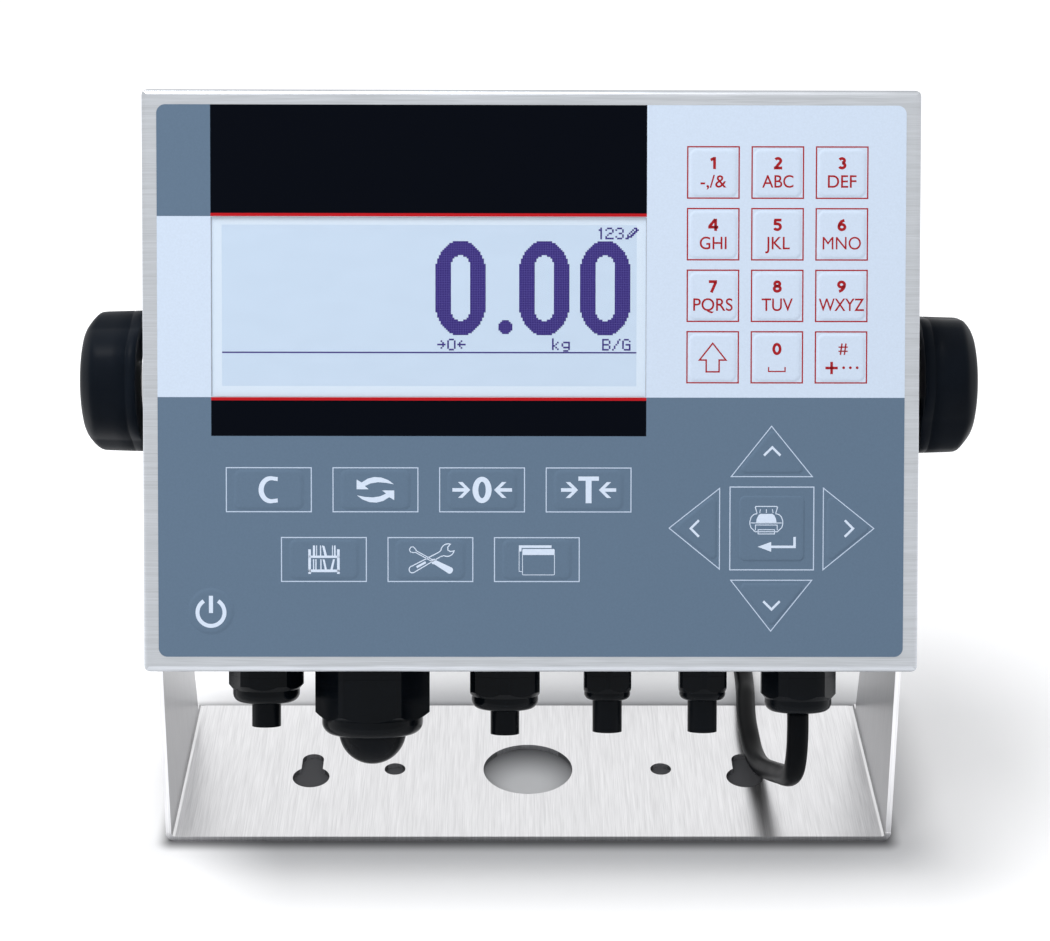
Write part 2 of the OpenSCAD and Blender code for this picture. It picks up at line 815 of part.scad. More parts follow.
module main_board() {
    board_y = face_y + board_back;
    chip_w = 14;
    terminal_w = 30;
    terminal_h = 10;
    color("darkgreen") in_housing() translate([0, 0, board_z]) {
        board_part(0, 0, board_w, board_h, board_y, board_y + board_t);
        for (x = [-3 * chip_w, 0, 3 * chip_w])
            board_part(x, 2 * chip_w, chip_w, chip_w, board_y + board_t,
                board_y + board_t + chip_h);
        for (x = [-terminal_w, 0, terminal_w])
            board_part(2 * x, terminal_h - board_h / 2, terminal_w, terminal_h,
                board_y + board_t, board_y + board_t + socket_h);
    }
}

module power_supply_board() {
    transformer_w = 30;
    transformer_t = 20;
    can_d = 12;
    can_h = 18;
    terminal_w = 24;
    terminal_h = 10;
    top_y = supply_back_y - board_t;
    color("olivedrab") in_housing() translate([supply_x, 0, supply_z]) {
        along_y(top_y, supply_back_y) square([supply_w, supply_h], center = true);
        along_y(top_y - transformer_t, top_y) square([transformer_w, transformer_w], center = true);
        for (side = [-1, 1])
            translate([side * (supply_w / 2 - 2 * can_d), 0, supply_h / 2 - 2 * can_d])
                rod_y(can_d, top_y - can_h, top_y);
        translate([supply_w / 2 - terminal_w, 0, terminal_h - supply_h / 2])
            along_y(top_y - socket_h, top_y) square([terminal_w, terminal_h], center = true);
    }
}

module board_spacers() {
    color("gold") in_housing() {
        for (sx = [-1, 1], sz = [-1, 1]) {
            translate([sx * (board_w / 2 - spacer_inset), 0,
                    board_z + sz * (board_h / 2 - spacer_inset)])
                rod_y(spacer_d, inside_front_y, face_y + board_back);
            translate([supply_x + sx * (supply_w / 2 - spacer_inset), 0,
                    supply_z + sz * (supply_h / 2 - spacer_inset)])
                rod_y(spacer_d, supply_back_y, inside_rear_y);
        }
    }
}

/*
 The glands stand in a row under the housing, and gland_gap_shares parts the free width between
 and beside their hexagons, from left to right. Each row of GLANDS gives a gland's place across,
 thread, width across flats, diameter over corners, turn of its flats, end of its hexagon, collar
 diameter, nose length, rounding and bore.
*/
gland_gap_shares = [0.2175, 0.037, 0.1318, 0.1435, 0.1561, 0.1137, 0.2004];
gland_widths = [medium_corner_d, large_corner_d, medium_flats, small_flats, small_flats,
    medium_corner_d];
function gland_x(i) = middle(i, gland_widths, gland_gap_shares, housing_w);
GLANDS = [
    [gland_x(0), medium_thread_d, medium_flats, medium_corner_d, 0, left_flats_end,
        medium_collar_d, medium_nose, medium_round, medium_plug_d],
    [gland_x(1), large_thread_d, large_flats, large_corner_d, 0, large_flats_end,
        large_collar_d, large_nose, large_round, ball_plug_d],
    [gland_x(2), medium_thread_d, medium_flats, medium_corner_d, 1, signal_flats_end,
        medium_collar_d, medium_nose, medium_round, medium_plug_d],
    [gland_x(3), small_thread_d, small_flats, small_corner_d, 1, small_flats_end,
        small_collar_d, small_nose, small_round, small_stem_d],
    [gland_x(4), small_thread_d, small_flats, small_corner_d, 1, small_flats_end,
        small_collar_d, small_nose, small_round, small_stem_d],
    [gland_x(5), medium_thread_d, medium_flats, medium_corner_d, 0, power_flats_end,
        medium_collar_d, medium_nose, medium_round, cord_d]];
left_gland = 0;
option_gland = 1;
signal_gland = 2;
small_gland = 3;
next_small_gland = 4;
power_gland = 5;
// Wall of a gland's threaded tube, and how far the tube reaches into the housing
tube_wall = 1.6;
tube_inside = 9;
locknut_t = 5;
locknut_grow = 1;

// Puts a piece drawn along Z, downwards positive from the bottom wall's outer face
module at_gland(x) {
    translate([x, face_y + gland_back, -housing_h / 2]) mirror([0, 0, 1]) children();
}

module hexagon(flats, turned) {
    rotate(turned * turn / 12) circle(d = flats / cos(turn / 12), $fn = 6);
}

function gland_end(g) = g[5] + g[7];

module gland_washers() {
    color("dimgray") in_housing() for (g = GLANDS)
        at_gland(g[0]) difference() {
            cylinder(d = g[6], h = gland_seal_t, $fn = 64);
            translate([0, 0, -cut]) cylinder(d = g[1] + 2 * fit, h = gland_seal_t + 2 * cut, $fn = 64);
        }
}

module gland_bodies() {
    color("#202226") in_housing() for (g = GLANDS)
        at_gland(g[0]) difference() {
            union() {
                translate([0, 0, gland_seal_t]) intersection() {
                    linear_extrude(height = gland_base_h - gland_seal_t) hexagon(g[2], g[4]);
                    cylinder(d = g[3], h = gland_base_h, $fn = 64);
                }
                translate([0, 0, -wall_t - tube_inside])
                    cylinder(d = g[1], h = wall_t + tube_inside + g[5] - fit, $fn = 64);
            }
            translate([0, 0, -wall_t - tube_inside - cut])
                cylinder(d = min(g[9] + tube_wall, g[1] - tube_wall),
                    h = wall_t + tube_inside + g[5] + 2 * cut, $fn = 64);
        }
}

module gland_locknuts() {
    color("#2a2c30") in_housing() for (g = GLANDS)
        at_gland(g[0]) translate([0, 0, -wall_t - locknut_t]) difference() {
            intersection() {
                linear_extrude(height = locknut_t) hexagon(g[2] + locknut_grow, g[4]);
                cylinder(d = g[3] + locknut_grow, h = locknut_t, $fn = 64);
            }
            translate([0, 0, -cut]) cylinder(d = g[1] + 2 * fit, h = locknut_t + 2 * cut, $fn = 64);
        }
}

// A gland's cap: a hexagon whose corners are turned off, a collar and a rounded nose
module gland_cap(g) {
    end = gland_end(g);
    collar = g[6] / 2;
    round_r = g[8];
    at_gland(g[0]) difference() {
        intersection() {
            linear_extrude(height = end + cut) hexagon(g[2], g[4]);
            rotate_extrude($fn = 96) {
                polygon([[0, gland_base_h + fit], [g[3] / 2, gland_base_h + fit], [g[3] / 2, g[5]],
                    [collar, g[5] + nose_chamfer], [0, g[5] + nose_chamfer]]);
                translate([0, g[5]]) square([collar - round_r, end - g[5]]);
                translate([0, g[5]]) square([collar, end - g[5] - round_r]);
                translate([collar - round_r, end - round_r]) circle(r = round_r, $fn = 32);
            }
        }
        translate([0, 0, -cut]) cylinder(d = g[1] + 2 * slip, h = cut + g[5], $fn = 64);
        cylinder(d = g[9] + 2 * slip, h = end + cut, $fn = 64);
    }
}

module gland_caps() {
    color("#1a1c20") in_housing() for (i = [left_gland, signal_gland, small_gland, next_small_gland])
        gland_cap(GLANDS[i]);
}

module option_gland_cap() {
    color("#1a1c20") in_housing() gland_cap(GLANDS[option_gland]);
}

module power_gland_cap() {
    color("#1a1c20") in_housing() gland_cap(GLANDS[power_gland]);
}

// Rubber sleeves that the tubes of the glands squeeze on to what passes through
module gland_seals() {
    color("black") in_housing() for (g = GLANDS)
        at_gland(g[0]) translate([0, 0, gland_base_h]) difference() {
            cylinder(d = min(g[9] + tube_wall, g[1] - tube_wall) - 2 * fit,
                h = g[5] - gland_base_h, $fn = 64);
            translate([0, 0, -cut]) cylinder(d = g[9] + 2 * fit, h = g[5] + cut, $fn = 64);
        }
}

module option_gland_plug() {
    g = GLANDS[option_gland];
    middle = ball_plug_end - ball_plug_d / 2;
    color("#15171a") in_housing() at_gland(g[0]) {
        cylinder(d = ball_plug_d, h = middle, $fn = 64);
        translate([0, 0, middle]) sphere(d = ball_plug_d, $fn = 64);
    }
}

module blanking_plugs() {
    color("#15171a") in_housing() {
        for (plug = [[left_gland, left_plug_end], [signal_gland, signal_plug_end]])
            at_gland(GLANDS[plug[0]][0]) cylinder(d = medium_plug_d, h = plug[1], $fn = 64);
        for (i = [small_gland, next_small_gland]) {
            end = gland_end(GLANDS[i]);
            at_gland(GLANDS[i][0]) {
                cylinder(d = small_stem_d, h = end + fit, $fn = 48);
                translate([0, 0, end + fit])
                    cylinder(d = small_plug_d, h = small_plug_end - end, $fn = 64);
            }
        }
    }
}

// Mains lead

module power_lead() {
    g = GLANDS[power_gland];
    color("#15171a") in_housing() at_gland(g[0]) translate([0, 0, -lead_inside])
        cylinder(r = lead_r, h = lead_inside + gland_end(g), $fn = 48);
}

function unit(v) = v / norm(v);

// Direction of a route at its i-th point
function heading(route, i) =
    unit(route[min(i + 1, len(route) - 1)] - route[max(i - 1, 0)]);

// Tube of a given radius along a route, closed at both ends; across never lies along the route
module tube(route, r, sides, across) {
    count = len(route);
    rings = [for (i = [0:count - 1])
        let (t = heading(route, i), a = unit(across - (across * t) * t), b = cross(t, a))
        for (k = [0:sides - 1])
            let (angle = (k + 1 / 2) * turn / sides)
            route[i] + r * (cos(angle) * a + sin(angle) * b)];
    walls = [for (i = [0:count - 2], k = [0:sides - 1])
        let (n = (k + 1) % sides, at = i * sides, next = (i + 1) * sides)
        [at + k, next + k, next + n, at + n]];
    triangles = [for (q = walls) each [[q[0], q[1], q[2]], [q[0], q[2], q[3]]]];
    last = (count - 1) * sides;
    ends = [for (k = [1:sides - 2]) each [[0, k, k + 1], [last, last + k + 1, last + k]]];
    polyhedron(points = rings, faces = concat(triangles, ends), convexity = 8);
}

module power_cord() {
    color("#15171a") tube(CORD_ROUTE, cord_r, cord_sides, [1, 0, 0]);
}

// Radius of the coil after a number of turns: inwards at a steady rate, then out again
function coil_radius(n) =
    coil_r - turn_pitch * (n < turning_point ? n : 2 * turning_point - n);

// Share of the climb to the upper layer that is done after a number of turns
function climb_share(n) =
    let (s = min(max((n - turns_in) / climb_turns, 0), 1)) s * s * (3 - 2 * s);

function coil_point(n) =
    [coil_x + coil_radius(n) * cos(turn * n), coil_y + coil_radius(n) * sin(turn * n),
        coil_start.z + layer_rise * climb_share(n)];

coil_rings = round(turns * rings_per_turn);
coil_loops = [for (i = [0:coil_rings]) coil_point(turns * i / coil_rings)];
coil_end_heading = [-sin(turn * turns), cos(turn * turns), 0];
coil_end = coil_loops[coil_rings] + coil_run_out * coil_end_heading;
coil_route = concat([coil_start], coil_loops, [coil_end]);

// Least gap between one turn and any other
coil_gap = min([for (i = [0:coil_rings], j = [i + rings_per_turn / 2:coil_rings])
    norm(coil_loops[i] - coil_loops[j])]) - cord_d;

module cord_coil() {
    echo(least_gap_in_coil = coil_gap);
    color("#15171a") tube(coil_route, cord_r, coil_sides, [0, 0, 1]);
}

// Puts a piece drawn along X at the coil's end
module at_plug() {
    translate(coil_end) rotate([0, 0, turn * turns + quarter]) children();
}

module mains_plug() {
    neck_d = cord_d + 2 * tube_wall;
    shoulder_d = neck_d + 2 * tube_wall;
    color("#15171a") at_plug() {
        rotate([0, quarter, 0]) cylinder(d1 = neck_d, d2 = shoulder_d, h = relief_l, $fn = 48);
        translate([relief_l, 0, 0]) intersection() {
            linear_extrude(height = grip_h, center = true) translate([grip_l / 2, 0])
                rounded_rect(grip_l, grip_w, grip_r);
            rotate([quarter, 0, 0]) linear_extrude(height = grip_w, center = true)
                translate([grip_l / 2, 0]) rounded_rect(grip_l, grip_h, grip_r);
            along_x(grip_l) rounded_rect(grip_w, grip_h, grip_r);
        }
    }
}

module plug_pins() {
    start = relief_l + grip_l;
    color("gainsboro") at_plug() translate([start, 0, 0]) {
        for (side = [-1, 1])
            translate([0, side * pin_spread / 2 - pin_flat_t / 2, pin_lift - pin_flat_w / 2])
                cube([pin_flat_l, pin_flat_t, pin_flat_w]);
        translate([0, 0, pin_lift - earth_offset - earth_pin_d / 2]) rotate([0, quarter, 0])
            cylinder(d = earth_pin_d, h = earth_pin_l, $fn = 32);
    }
}

bracket();
front_housing();
housing_gasket();
rear_housing();
housing_screws();
knob_inserts();
friction_discs();
knob_washer(-1);  // knob_washer_left
knob_washer(1);  // knob_washer_right
knob(-1);  // knob_left
knob(1);  // knob_right
knob_stud(-1);  // knob_stud_left
knob_stud(1);  // knob_stud_right
control_panel();
display_window();
display_module();
keypad_circuit();
main_board();
power_supply_board();
board_spacers();
gland_washers();
gland_bodies();
gland_locknuts();
gland_caps();
option_gland_cap();
option_gland_plug();
power_gland_cap();
gland_seals();
blanking_plugs();
power_lead();
power_cord();
cord_coil();
mains_plug();
plug_pins();
key("aliceblue") number_pad(-1, -1, 0);  // key_1
key("aliceblue") number_pad(0, -1, 0);  // key_2
key("aliceblue") number_pad(1, -1, 0);  // key_3
key("aliceblue") number_pad(-1, 0, 0);  // key_4
key("aliceblue") number_pad(0, 0, 0);  // key_5
key("aliceblue") number_pad(1, 0, 0);  // key_6
key("aliceblue") number_pad(-1, 1, 0);  // key_7
key("aliceblue") number_pad(0, 1, 0);  // key_8
key("aliceblue") number_pad(1, 1, 0);  // key_9
key("aliceblue") number_pad(-1, 2, 0);  // key_shift
key("aliceblue") number_pad(0, 2, 0);  // key_0
key("aliceblue") number_pad(1, 2, 0);  // key_symbol
key("steelblue") upper_pad(0, 0);  // key_clear
key("steelblue") upper_pad(1, 0);  // key_swap
key("steelblue") upper_pad(2, 0);  // key_zero
key("steelblue") upper_pad(3, 0);  // key_tare
key("steelblue") lower_pad(0, 0);  // key_library
key("steelblue") lower_pad(1, 0);  // key_tools
key("steelblue") lower_pad(2, 0);  // key_windows
key("steelblue") enter_key_pad(0);  // key_enter
key("steelblue") arrow_key_pad(0, 0);  // key_up
key("steelblue") arrow_key_pad(half_turn, 0);  // key_down
key("steelblue") arrow_key_pad(quarter, 0);  // key_left
key("steelblue") arrow_key_pad(-quarter, 0);  // key_right
key("steelblue") power_key_pad(0);  // key_power
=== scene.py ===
# %% [markdown]
# # A weighing indicator in its tilting bracket
# The steel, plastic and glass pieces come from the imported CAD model, so each one is already in
# place and to size. This notebook gives them their finishes, prints the keypad and the display,
# and lays out the mains lead. We start by loading the model as a fixed frame.

import json
from math import cos, dist, pi, radians, sin, sqrt

import bpy
from mathutils import Matrix, Vector
from mathutils.geometry import convex_hull_2d, tessellate_polygon


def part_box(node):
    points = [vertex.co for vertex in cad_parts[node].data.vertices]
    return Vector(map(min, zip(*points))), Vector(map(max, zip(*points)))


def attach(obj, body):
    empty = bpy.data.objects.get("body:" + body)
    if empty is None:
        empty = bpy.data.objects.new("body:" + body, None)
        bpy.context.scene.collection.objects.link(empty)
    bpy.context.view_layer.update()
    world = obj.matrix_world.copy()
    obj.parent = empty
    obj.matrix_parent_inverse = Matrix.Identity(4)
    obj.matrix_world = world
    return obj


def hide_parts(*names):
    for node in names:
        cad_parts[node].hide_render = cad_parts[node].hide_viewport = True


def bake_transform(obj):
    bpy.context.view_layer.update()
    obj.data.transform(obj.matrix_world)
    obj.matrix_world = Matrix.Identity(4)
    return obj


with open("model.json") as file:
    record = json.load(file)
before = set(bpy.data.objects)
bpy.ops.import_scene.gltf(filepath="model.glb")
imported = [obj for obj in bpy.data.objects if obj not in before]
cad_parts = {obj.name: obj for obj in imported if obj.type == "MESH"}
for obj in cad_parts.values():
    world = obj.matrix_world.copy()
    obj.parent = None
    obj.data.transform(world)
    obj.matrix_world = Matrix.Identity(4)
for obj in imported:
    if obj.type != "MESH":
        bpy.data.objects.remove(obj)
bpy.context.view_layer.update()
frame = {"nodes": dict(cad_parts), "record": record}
nodes = frame["nodes"]
MM = 0.001

# %% [markdown]
# ## Camera
# The photograph was taken from a little above with a long lens. A long lens keeps the two arms of
# the bracket nearly parallel, so we give the camera that lens and turn it by three angles. Building
# the three axes by hand is clearer than aiming at a target, because the roll stays in view.

# %% Camera and colour
scene = bpy.context.scene
scene.view_settings.view_transform = "Standard"

camera_data = bpy.data.cameras.new("camera")
camera_data.sensor_width = 36
camera_data.lens = 81.585
CAMERA_PLACE = Vector((-8.15, -789.42, 520.35))
camera = bpy.data.objects.new("camera", camera_data)
scene.collection.objects.link(camera)
scene.camera = camera

pitch, yaw, roll = radians(26.14), radians(-0.47), radians(0.26)
turn = Matrix.Rotation(yaw, 3, "Z") @ Matrix.Rotation(-pitch, 3, "X")
sight, level, lift = (turn @ Vector(axis) for axis in ((0, 1, 0), (1, 0, 0), (0, 0, 1)))
right = cos(roll) * level + sin(roll) * lift
up = cos(roll) * lift - sin(roll) * level
axes = Matrix((right, up, -sight)).transposed().to_4x4()
camera.matrix_world = Matrix.Translation(CAMERA_PLACE * MM) @ axes
print("camera looks down by", round(pitch * 180 / pi, 1), "degrees")

# %% [markdown]
# ## Mains lead
# The lead leaves the right gland, swings back over the base plate and ends in a neat coil behind
# the housing, where the plug lies beside it. Its length is fixed, so the route comes first and the
# skin is swept along it. The free stretch is a smooth curve through a few points.

# %% Route of the free stretch
LEAD_D = 7.8
ROUTE = [
    (96.8, -56.8, 64.2), (96.8, -60, 57), (96.7, -61.2, 49), (96.5, -59.2, 41),
    (96.1, -54, 34.8), (95.4, -46.8, 29.8), (94.4, -37.6, 24.6), (93.2, -28.4, 19.4),
    (92, -19.2, 14.4), (90.8, -10, 10), (89.8, -1, 7.2), (89.1, 8, 6), (88.8, 18, 6),
    (88.7, 29, 6), (89.2, 40, 6), (89.9, 49, 5.8), (90.5, 58, 4.6), (90.9, 68, 4), (91, 88, 4),
    (91, 108, 4), (91, 128, 4)]


def smooth_route(points, steps):
    """Points of a curve that passes through all of these, at an even pace between each two."""
    points = [Vector(p) for p in points]
    ends = [2 * points[0] - points[1]] + points + [2 * points[-1] - points[-2]]
    route = []
    for a, b, c, d in zip(ends, ends[1:], ends[2:], ends[3:]):
        for k in range(steps):
            t = k / steps
            route.append(0.5 * (2 * b + (c - a) * t + (2 * a - 5 * b + 4 * c - d) * t * t
                                + (3 * b - a - 3 * c + d) * t ** 3))
    return route + [points[-1]]


free_stretch = smooth_route(ROUTE, 4)
print("free stretch in", len(free_stretch), "points")

# %% [markdown]
# The coil spirals inwards, climbs to a second layer and spirals out again, so that both of its ends
# are on the outside. A formula for the radius and the height keeps the turns a set gap apart.

# %% Route of the coil
COIL_R, TURN_PITCH, RUN_IN, RUN_OUT = 55.5, 8.6, 10, 20
TURNS_IN, CLIMB, TURNS_OUT = 2.45, 0.5, 2.425
LAYER_RISE = TURN_PITCH
PER_TURN = 48
turns = TURNS_IN + CLIMB + TURNS_OUT


def coil_point(n):
    """Where the lead is after n turns: in at the bottom, a climb, and out again on top."""
    start = Vector(ROUTE[-1])
    halfway = TURNS_IN + CLIMB / 2
    radius = COIL_R - TURN_PITCH * (n if n < halfway else 2 * halfway - n)
    share = min(max((n - TURNS_IN) / CLIMB, 0), 1)
    climb = share * share * (3 - 2 * share)
    return start + Vector((radius * cos(2 * pi * n) - COIL_R, RUN_IN + radius * sin(2 * pi * n),
                           LAYER_RISE * climb))


count = round(turns * PER_TURN)
coil = [coil_point(turns * i / count) for i in range(count + 1)]
heading = Vector((-sin(2 * pi * turns), cos(2 * pi * turns), 0))
lead_route = free_stretch + coil + [coil[-1] + RUN_OUT * heading * k / 4 for k in (1, 2, 3, 4)]

# %% [markdown]
# A tube that bends in three dimensions twists if each ring is aimed on its own. We carry the side
# direction from ring to ring instead, turning it only as far as the route itself turns.

# %% Skin of the lead
def new_piece(name, vertices, faces, smooth=True, unit=MM):
    """A mesh object from points that are written in this unit, which is millimetres at first."""
    mesh = bpy.data.meshes.new(name)
    mesh.from_pydata([Vector(v) * unit for v in vertices], [], faces)
    mesh.polygons.foreach_set("use_smooth", [smooth] * len(mesh.polygons))
    mesh.update()
    piece = bpy.data.objects.new(name, mesh)
    scene.collection.objects.link(piece)
    return piece


def tube(name, route, radius, sides):
    """A closed skin of this radius round a route."""
    vertices, faces = [], []
    side = Vector((1, 0, 0))
    for i, centre in enumerate(route):
        ahead = (route[min(i + 1, len(route) - 1)] - route[max(i - 1, 0)]).normalized()
        side = (side - side.dot(ahead) * ahead).normalized()
        across = ahead.cross(side)
        for k in range(sides):
            angle = 2 * pi * k / sides
            vertices.append(centre + radius * (cos(angle) * side + sin(angle) * across))
        if i:
            first, last = (i - 1) * sides, i * sides
            for k in range(sides):
                n = (k + 1) % sides
                faces.append((first + k, first + n, last + n, last + k))
    faces.append(tuple(range(sides))[::-1])
    faces.append(tuple(range(len(vertices) - sides, len(vertices))))
    return new_piece(name, vertices, faces)


lead = tube("mains_lead", lead_route, LEAD_D / 2, 24)
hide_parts("power_cord", "cord_coil")
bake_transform(lead)
print("skin of", len(lead.data.polygons), "faces")

# %% [markdown]
# ## Finishes
# Colours are read off the photograph as screen values from 0 to 255. Blender's shaders work in
# linear light, so each one is converted first. A short helper makes a material and hands back its
# shader, because every finish below starts the same way.

# %% Helpers for materials
def ink(r, g, b):
    """Screen colour to linear light."""
    linear = [v / 12.92 if v <= 0.04045 else ((v + 0.055) / 1.055) ** 2.4
              for v in (r / 255, g / 255, b / 255)]
    return (*linear, 1)


def new_finish(name, colour, roughness, metallic=0.0, **more):
    """A material, its node tree and its Principled shader. more holds sockets by name."""
    material = bpy.data.materials.new(name)
    material.use_nodes = True
    tree = material.node_tree
    shader = tree.nodes["Principled BSDF"]
    shader.inputs["Base Color"].default_value = colour
    shader.inputs["Roughness"].default_value = roughness
    shader.inputs["Metallic"].default_value = metallic
    for socket, value in more.items():
        shader.inputs[socket.replace("_", " ")].default_value = value
    return material, tree, shader


def feed(tree, socket, value):
    """Gives a socket its value, or links it to the socket that makes the value."""
    if isinstance(value, bpy.types.NodeSocket):
        tree.links.new(value, socket)
    else:
        socket.default_value = value


def add_node(tree, kind, inputs=(), **settings):
    """A node with its settings, and with its inputs given by name or by number."""
    node = tree.nodes.new(kind)
    for key, value in settings.items():
        setattr(node, key, value)
    for socket, value in dict(inputs).items():
        feed(tree, node.inputs[socket], value)
    return node


def new_group(name, inputs, outputs):
    """A node group, the sockets that give its inputs and the sockets that take its results."""
    group = bpy.data.node_groups.new(name, "ShaderNodeTree")
    for label, kind, value in inputs:
        socket = group.interface.new_socket(label, in_out="INPUT", socket_type="NodeSocket" + kind)
        socket.default_value = value
    for label, kind in outputs:
        group.interface.new_socket(label, in_out="OUTPUT", socket_type="NodeSocket" + kind)
    return group, add_node(group, "NodeGroupInput").outputs, add_node(group, "NodeGroupOutput").inputs


print("helpers for materials are ready")

# %% [markdown]
# A procedural finish is a small sum: noise, worked on by a few kinds of node. Each kind gets a
# function that takes numbers or sockets and hands back a socket, so that the sums below read like
# sums. Place is measured in the part's own frame, so a pattern keeps its real scale on each piece.

# %% Nodes that work like sums
def maths(tree, operation, *values):
    return add_node(tree, "ShaderNodeMath", enumerate(values), operation=operation).outputs[0]


def mixed(tree, share, first, second):
    """A colour that goes from first to second as share goes from 0 to 1."""
    return add_node(tree, "ShaderNodeMix", {0: share, 6: first, 7: second}, data_type="RGBA").outputs[2]


def dimmed(tree, colour, share):
    """The colour with its brightness times share."""
    return add_node(tree, "ShaderNodeHueSaturation", {"Value": share, "Color": colour}).outputs[0]


def ramp(tree, value, start, stop, high=1, curve="LINEAR"):
    """Goes from 0 to high while value goes from start to stop."""
    inputs = {"Value": value, "From Min": start, "From Max": stop, "To Max": high}
    return add_node(tree, "ShaderNodeMapRange", inputs, interpolation_type=curve).outputs["Result"]


def place(tree):
    return add_node(tree, "ShaderNodeTexCoord").outputs["Object"]


def place_xyz(tree):
    return add_node(tree, "ShaderNodeSeparateXYZ", {0: place(tree)}).outputs


def noise(tree, scale, detail=2, **fourth):
    """Noise over the place, and over a fourth value W where it's given."""
    inputs = {"Vector": place(tree), "Scale": scale, "Detail": detail, **fourth}
    kind = "4D" if fourth else "3D"
    return add_node(tree, "ShaderNodeTexNoise", inputs, noise_dimensions=kind).outputs["Fac"]


def dress(tree, shader, texture, bump, depth):
    """Leads a group's colour, roughness and height to the shader, the height as fine relief."""
    inputs = {"Strength": bump, "Distance": depth * MM, "Height": texture.outputs["Height"]}
    feed(tree, shader.inputs["Normal"], add_node(tree, "ShaderNodeBump", inputs).outputs["Normal"])
    feed(tree, shader.inputs["Base Color"], texture.outputs["Color"])
    if "Roughness" in texture.outputs:
        feed(tree, shader.inputs["Roughness"], texture.outputs["Roughness"])


print("helpers for nodes are ready")

# %% [markdown]
# ### Brushed steel
# Both the bracket and the housing are stainless sheet with a drawn grain: thousands of fine lines
# that run one way on each face. Noise that changes fast across the lines and slowly along them
# gives them. On a face that looks along the first direction there are no lines to see, so the
# group swaps to a second direction there, as the sheet was brushed before it was bent. Such a
# turned face also gets a painted shade: its colour is made darker or lighter, standing in for the
# light that its grain throws another way.

# %% Grain group
def grain_group():
    group, given, result = new_group(
        "Drawn grain",
        [("First", "Vector", (1, 0, 0)), ("Second", "Vector", (0, 1, 0)),
         ("Lines", "Float", 2600.0), ("Dark", "Color", (0.4, 0.4, 0.4, 1)),
         ("Light", "Color", (0.7, 0.7, 0.7, 1)), ("Smooth", "Float", 0.28), ("Rough", "Float", 0.45),
         ("Painted_shade", "Float", 1.0)],
        [("Color", "Color"), ("Roughness", "Float"), ("Height", "Float")])
    fine_scale, broad_scale, broad_step, fine_share, turned_from = 70, 25, 4, 0.65, 0.7

    def along(direction, vector):
        inputs = {0: given[direction], 1: vector}
        return add_node(group, "ShaderNodeVectorMath", inputs, operation="DOT_PRODUCT").outputs["Value"]

    normal = add_node(group, "ShaderNodeTexCoord").outputs["Normal"]
    swap = maths(group, "GREATER_THAN", maths(group, "ABSOLUTE", along("First", normal)), turned_from)
    keep = maths(group, "SUBTRACT", 1, swap)
    across = maths(group, "ADD", maths(group, "MULTIPLY", along("First", place(group)), keep),
                   maths(group, "MULTIPLY", along("Second", place(group)), swap))
    lines = maths(group, "MULTIPLY", across, given["Lines"])
    fine = noise(group, fine_scale, W=maths(group, "DIVIDE", lines, fine_scale))
    broad = noise(group, broad_scale, W=maths(group, "DIVIDE", lines, broad_step * broad_scale))
    shade = maths(group, "ADD", maths(group, "MULTIPLY", fine, fine_share),
                  maths(group, "MULTIPLY", broad, 1 - fine_share))
    tone = mixed(group, ramp(group, shade, 0.36, 0.64), given["Dark"], given["Light"])
    # Painted shade: on turned faces the colour is dimmed or lifted by the last input, standing in for
    # the light that their grain throws another way.
    painted_shade_change = maths(group, "SUBTRACT", given["Painted_shade"], 1)
    gap = maths(group, "SUBTRACT", given["Rough"], given["Smooth"])
    feed(group, result["Color"], dimmed(group, tone, maths(group, "MULTIPLY_ADD", swap, painted_shade_change, 1)))
    feed(group, result["Roughness"], maths(group, "MULTIPLY_ADD", broad, gap, given["Smooth"]))
    feed(group, result["Height"], fine)
    return group


grain = grain_group()
print("grain group with", len(grain.nodes), "nodes")

# %% [markdown]
# The steel finishes differ only in the values that they give to the group: two tones, the two
# directions that the lines lie across, how fine and how deep they are, two roughnesses, and the
# painted shade of turned faces. The housing's grain runs across its face, the base plate's from
# front to back, and the arms' up and down.

# %% Steel finishes
HINGE = Vector((0, -7.3, 172))
TILT = radians(23.9)
FACE_UP = (0, sin(TILT), cos(TILT))
FACE_IN = (0, cos(TILT), -sin(TILT))


def steel(name, dark, light, first, second, lines, bump, smooth, rough, turned=1):
    """Drawn metal between two tones, with its lines across first, or second on turned faces."""
    material, tree, shader = new_finish(name, ink(200, 200, 200), 0.35, 1.0)
    inputs = {"First": first, "Second": second, "Lines": lines, "Dark": ink(*dark),
              "Light": ink(*light), "Smooth": smooth, "Rough": rough, "Painted_shade": turned}
    dress(tree, shader, add_node(tree, "ShaderNodeGroup", inputs, node_tree=grain), bump, 0.02)
    return material


ACROSS, BACK, UP = (1, 0, 0), (0, 1, 0), (0, 0, 1)
finishes = {}
# The last number in a row, where given, is the painted shade of turned faces: it halves the tone of the
# bracket's arms and darkens the housing's top and bottom a little.
for slot, *values in (
        ("bracket_steel", "brushed_bracket", (220, 220, 222), (243, 243, 245), ACROSS, BACK,
         3200, 0.3, 0.26, 0.38, 0.5),
        ("housing_steel", "brushed_housing", (184, 188, 193), (202, 206, 212), FACE_UP, FACE_IN,
         4000, 0.25, 0.28, 0.4, 0.85),
        ("plain_steel", "turned_steel", (165, 165, 165), (205, 205, 204), ACROSS, BACK,
         3000, 0.2, 0.2, 0.35),
        ("spacer_brass", "turned_brass", (178, 150, 92), (220, 194, 130), UP, ACROSS,
         3000, 0.2, 0.2, 0.35),
        ("pin_brass", "pin_brass", (184, 158, 98), (226, 203, 142), UP, ACROSS,
         2400, 0.2, 0.18, 0.3)):
    finishes[slot] = steel(*values)
print("steel and brass:", ", ".join(finishes))

# %% [markdown]
# ### Moulded plastic and rubber
# The knobs, glands, plug and lead are black mouldings. None is a flat black: each has a fine spark
# texture from its mould and patches that shine a little more where hands or dust have been. One
# group gives both, and each moulding sets its own scale and gloss.

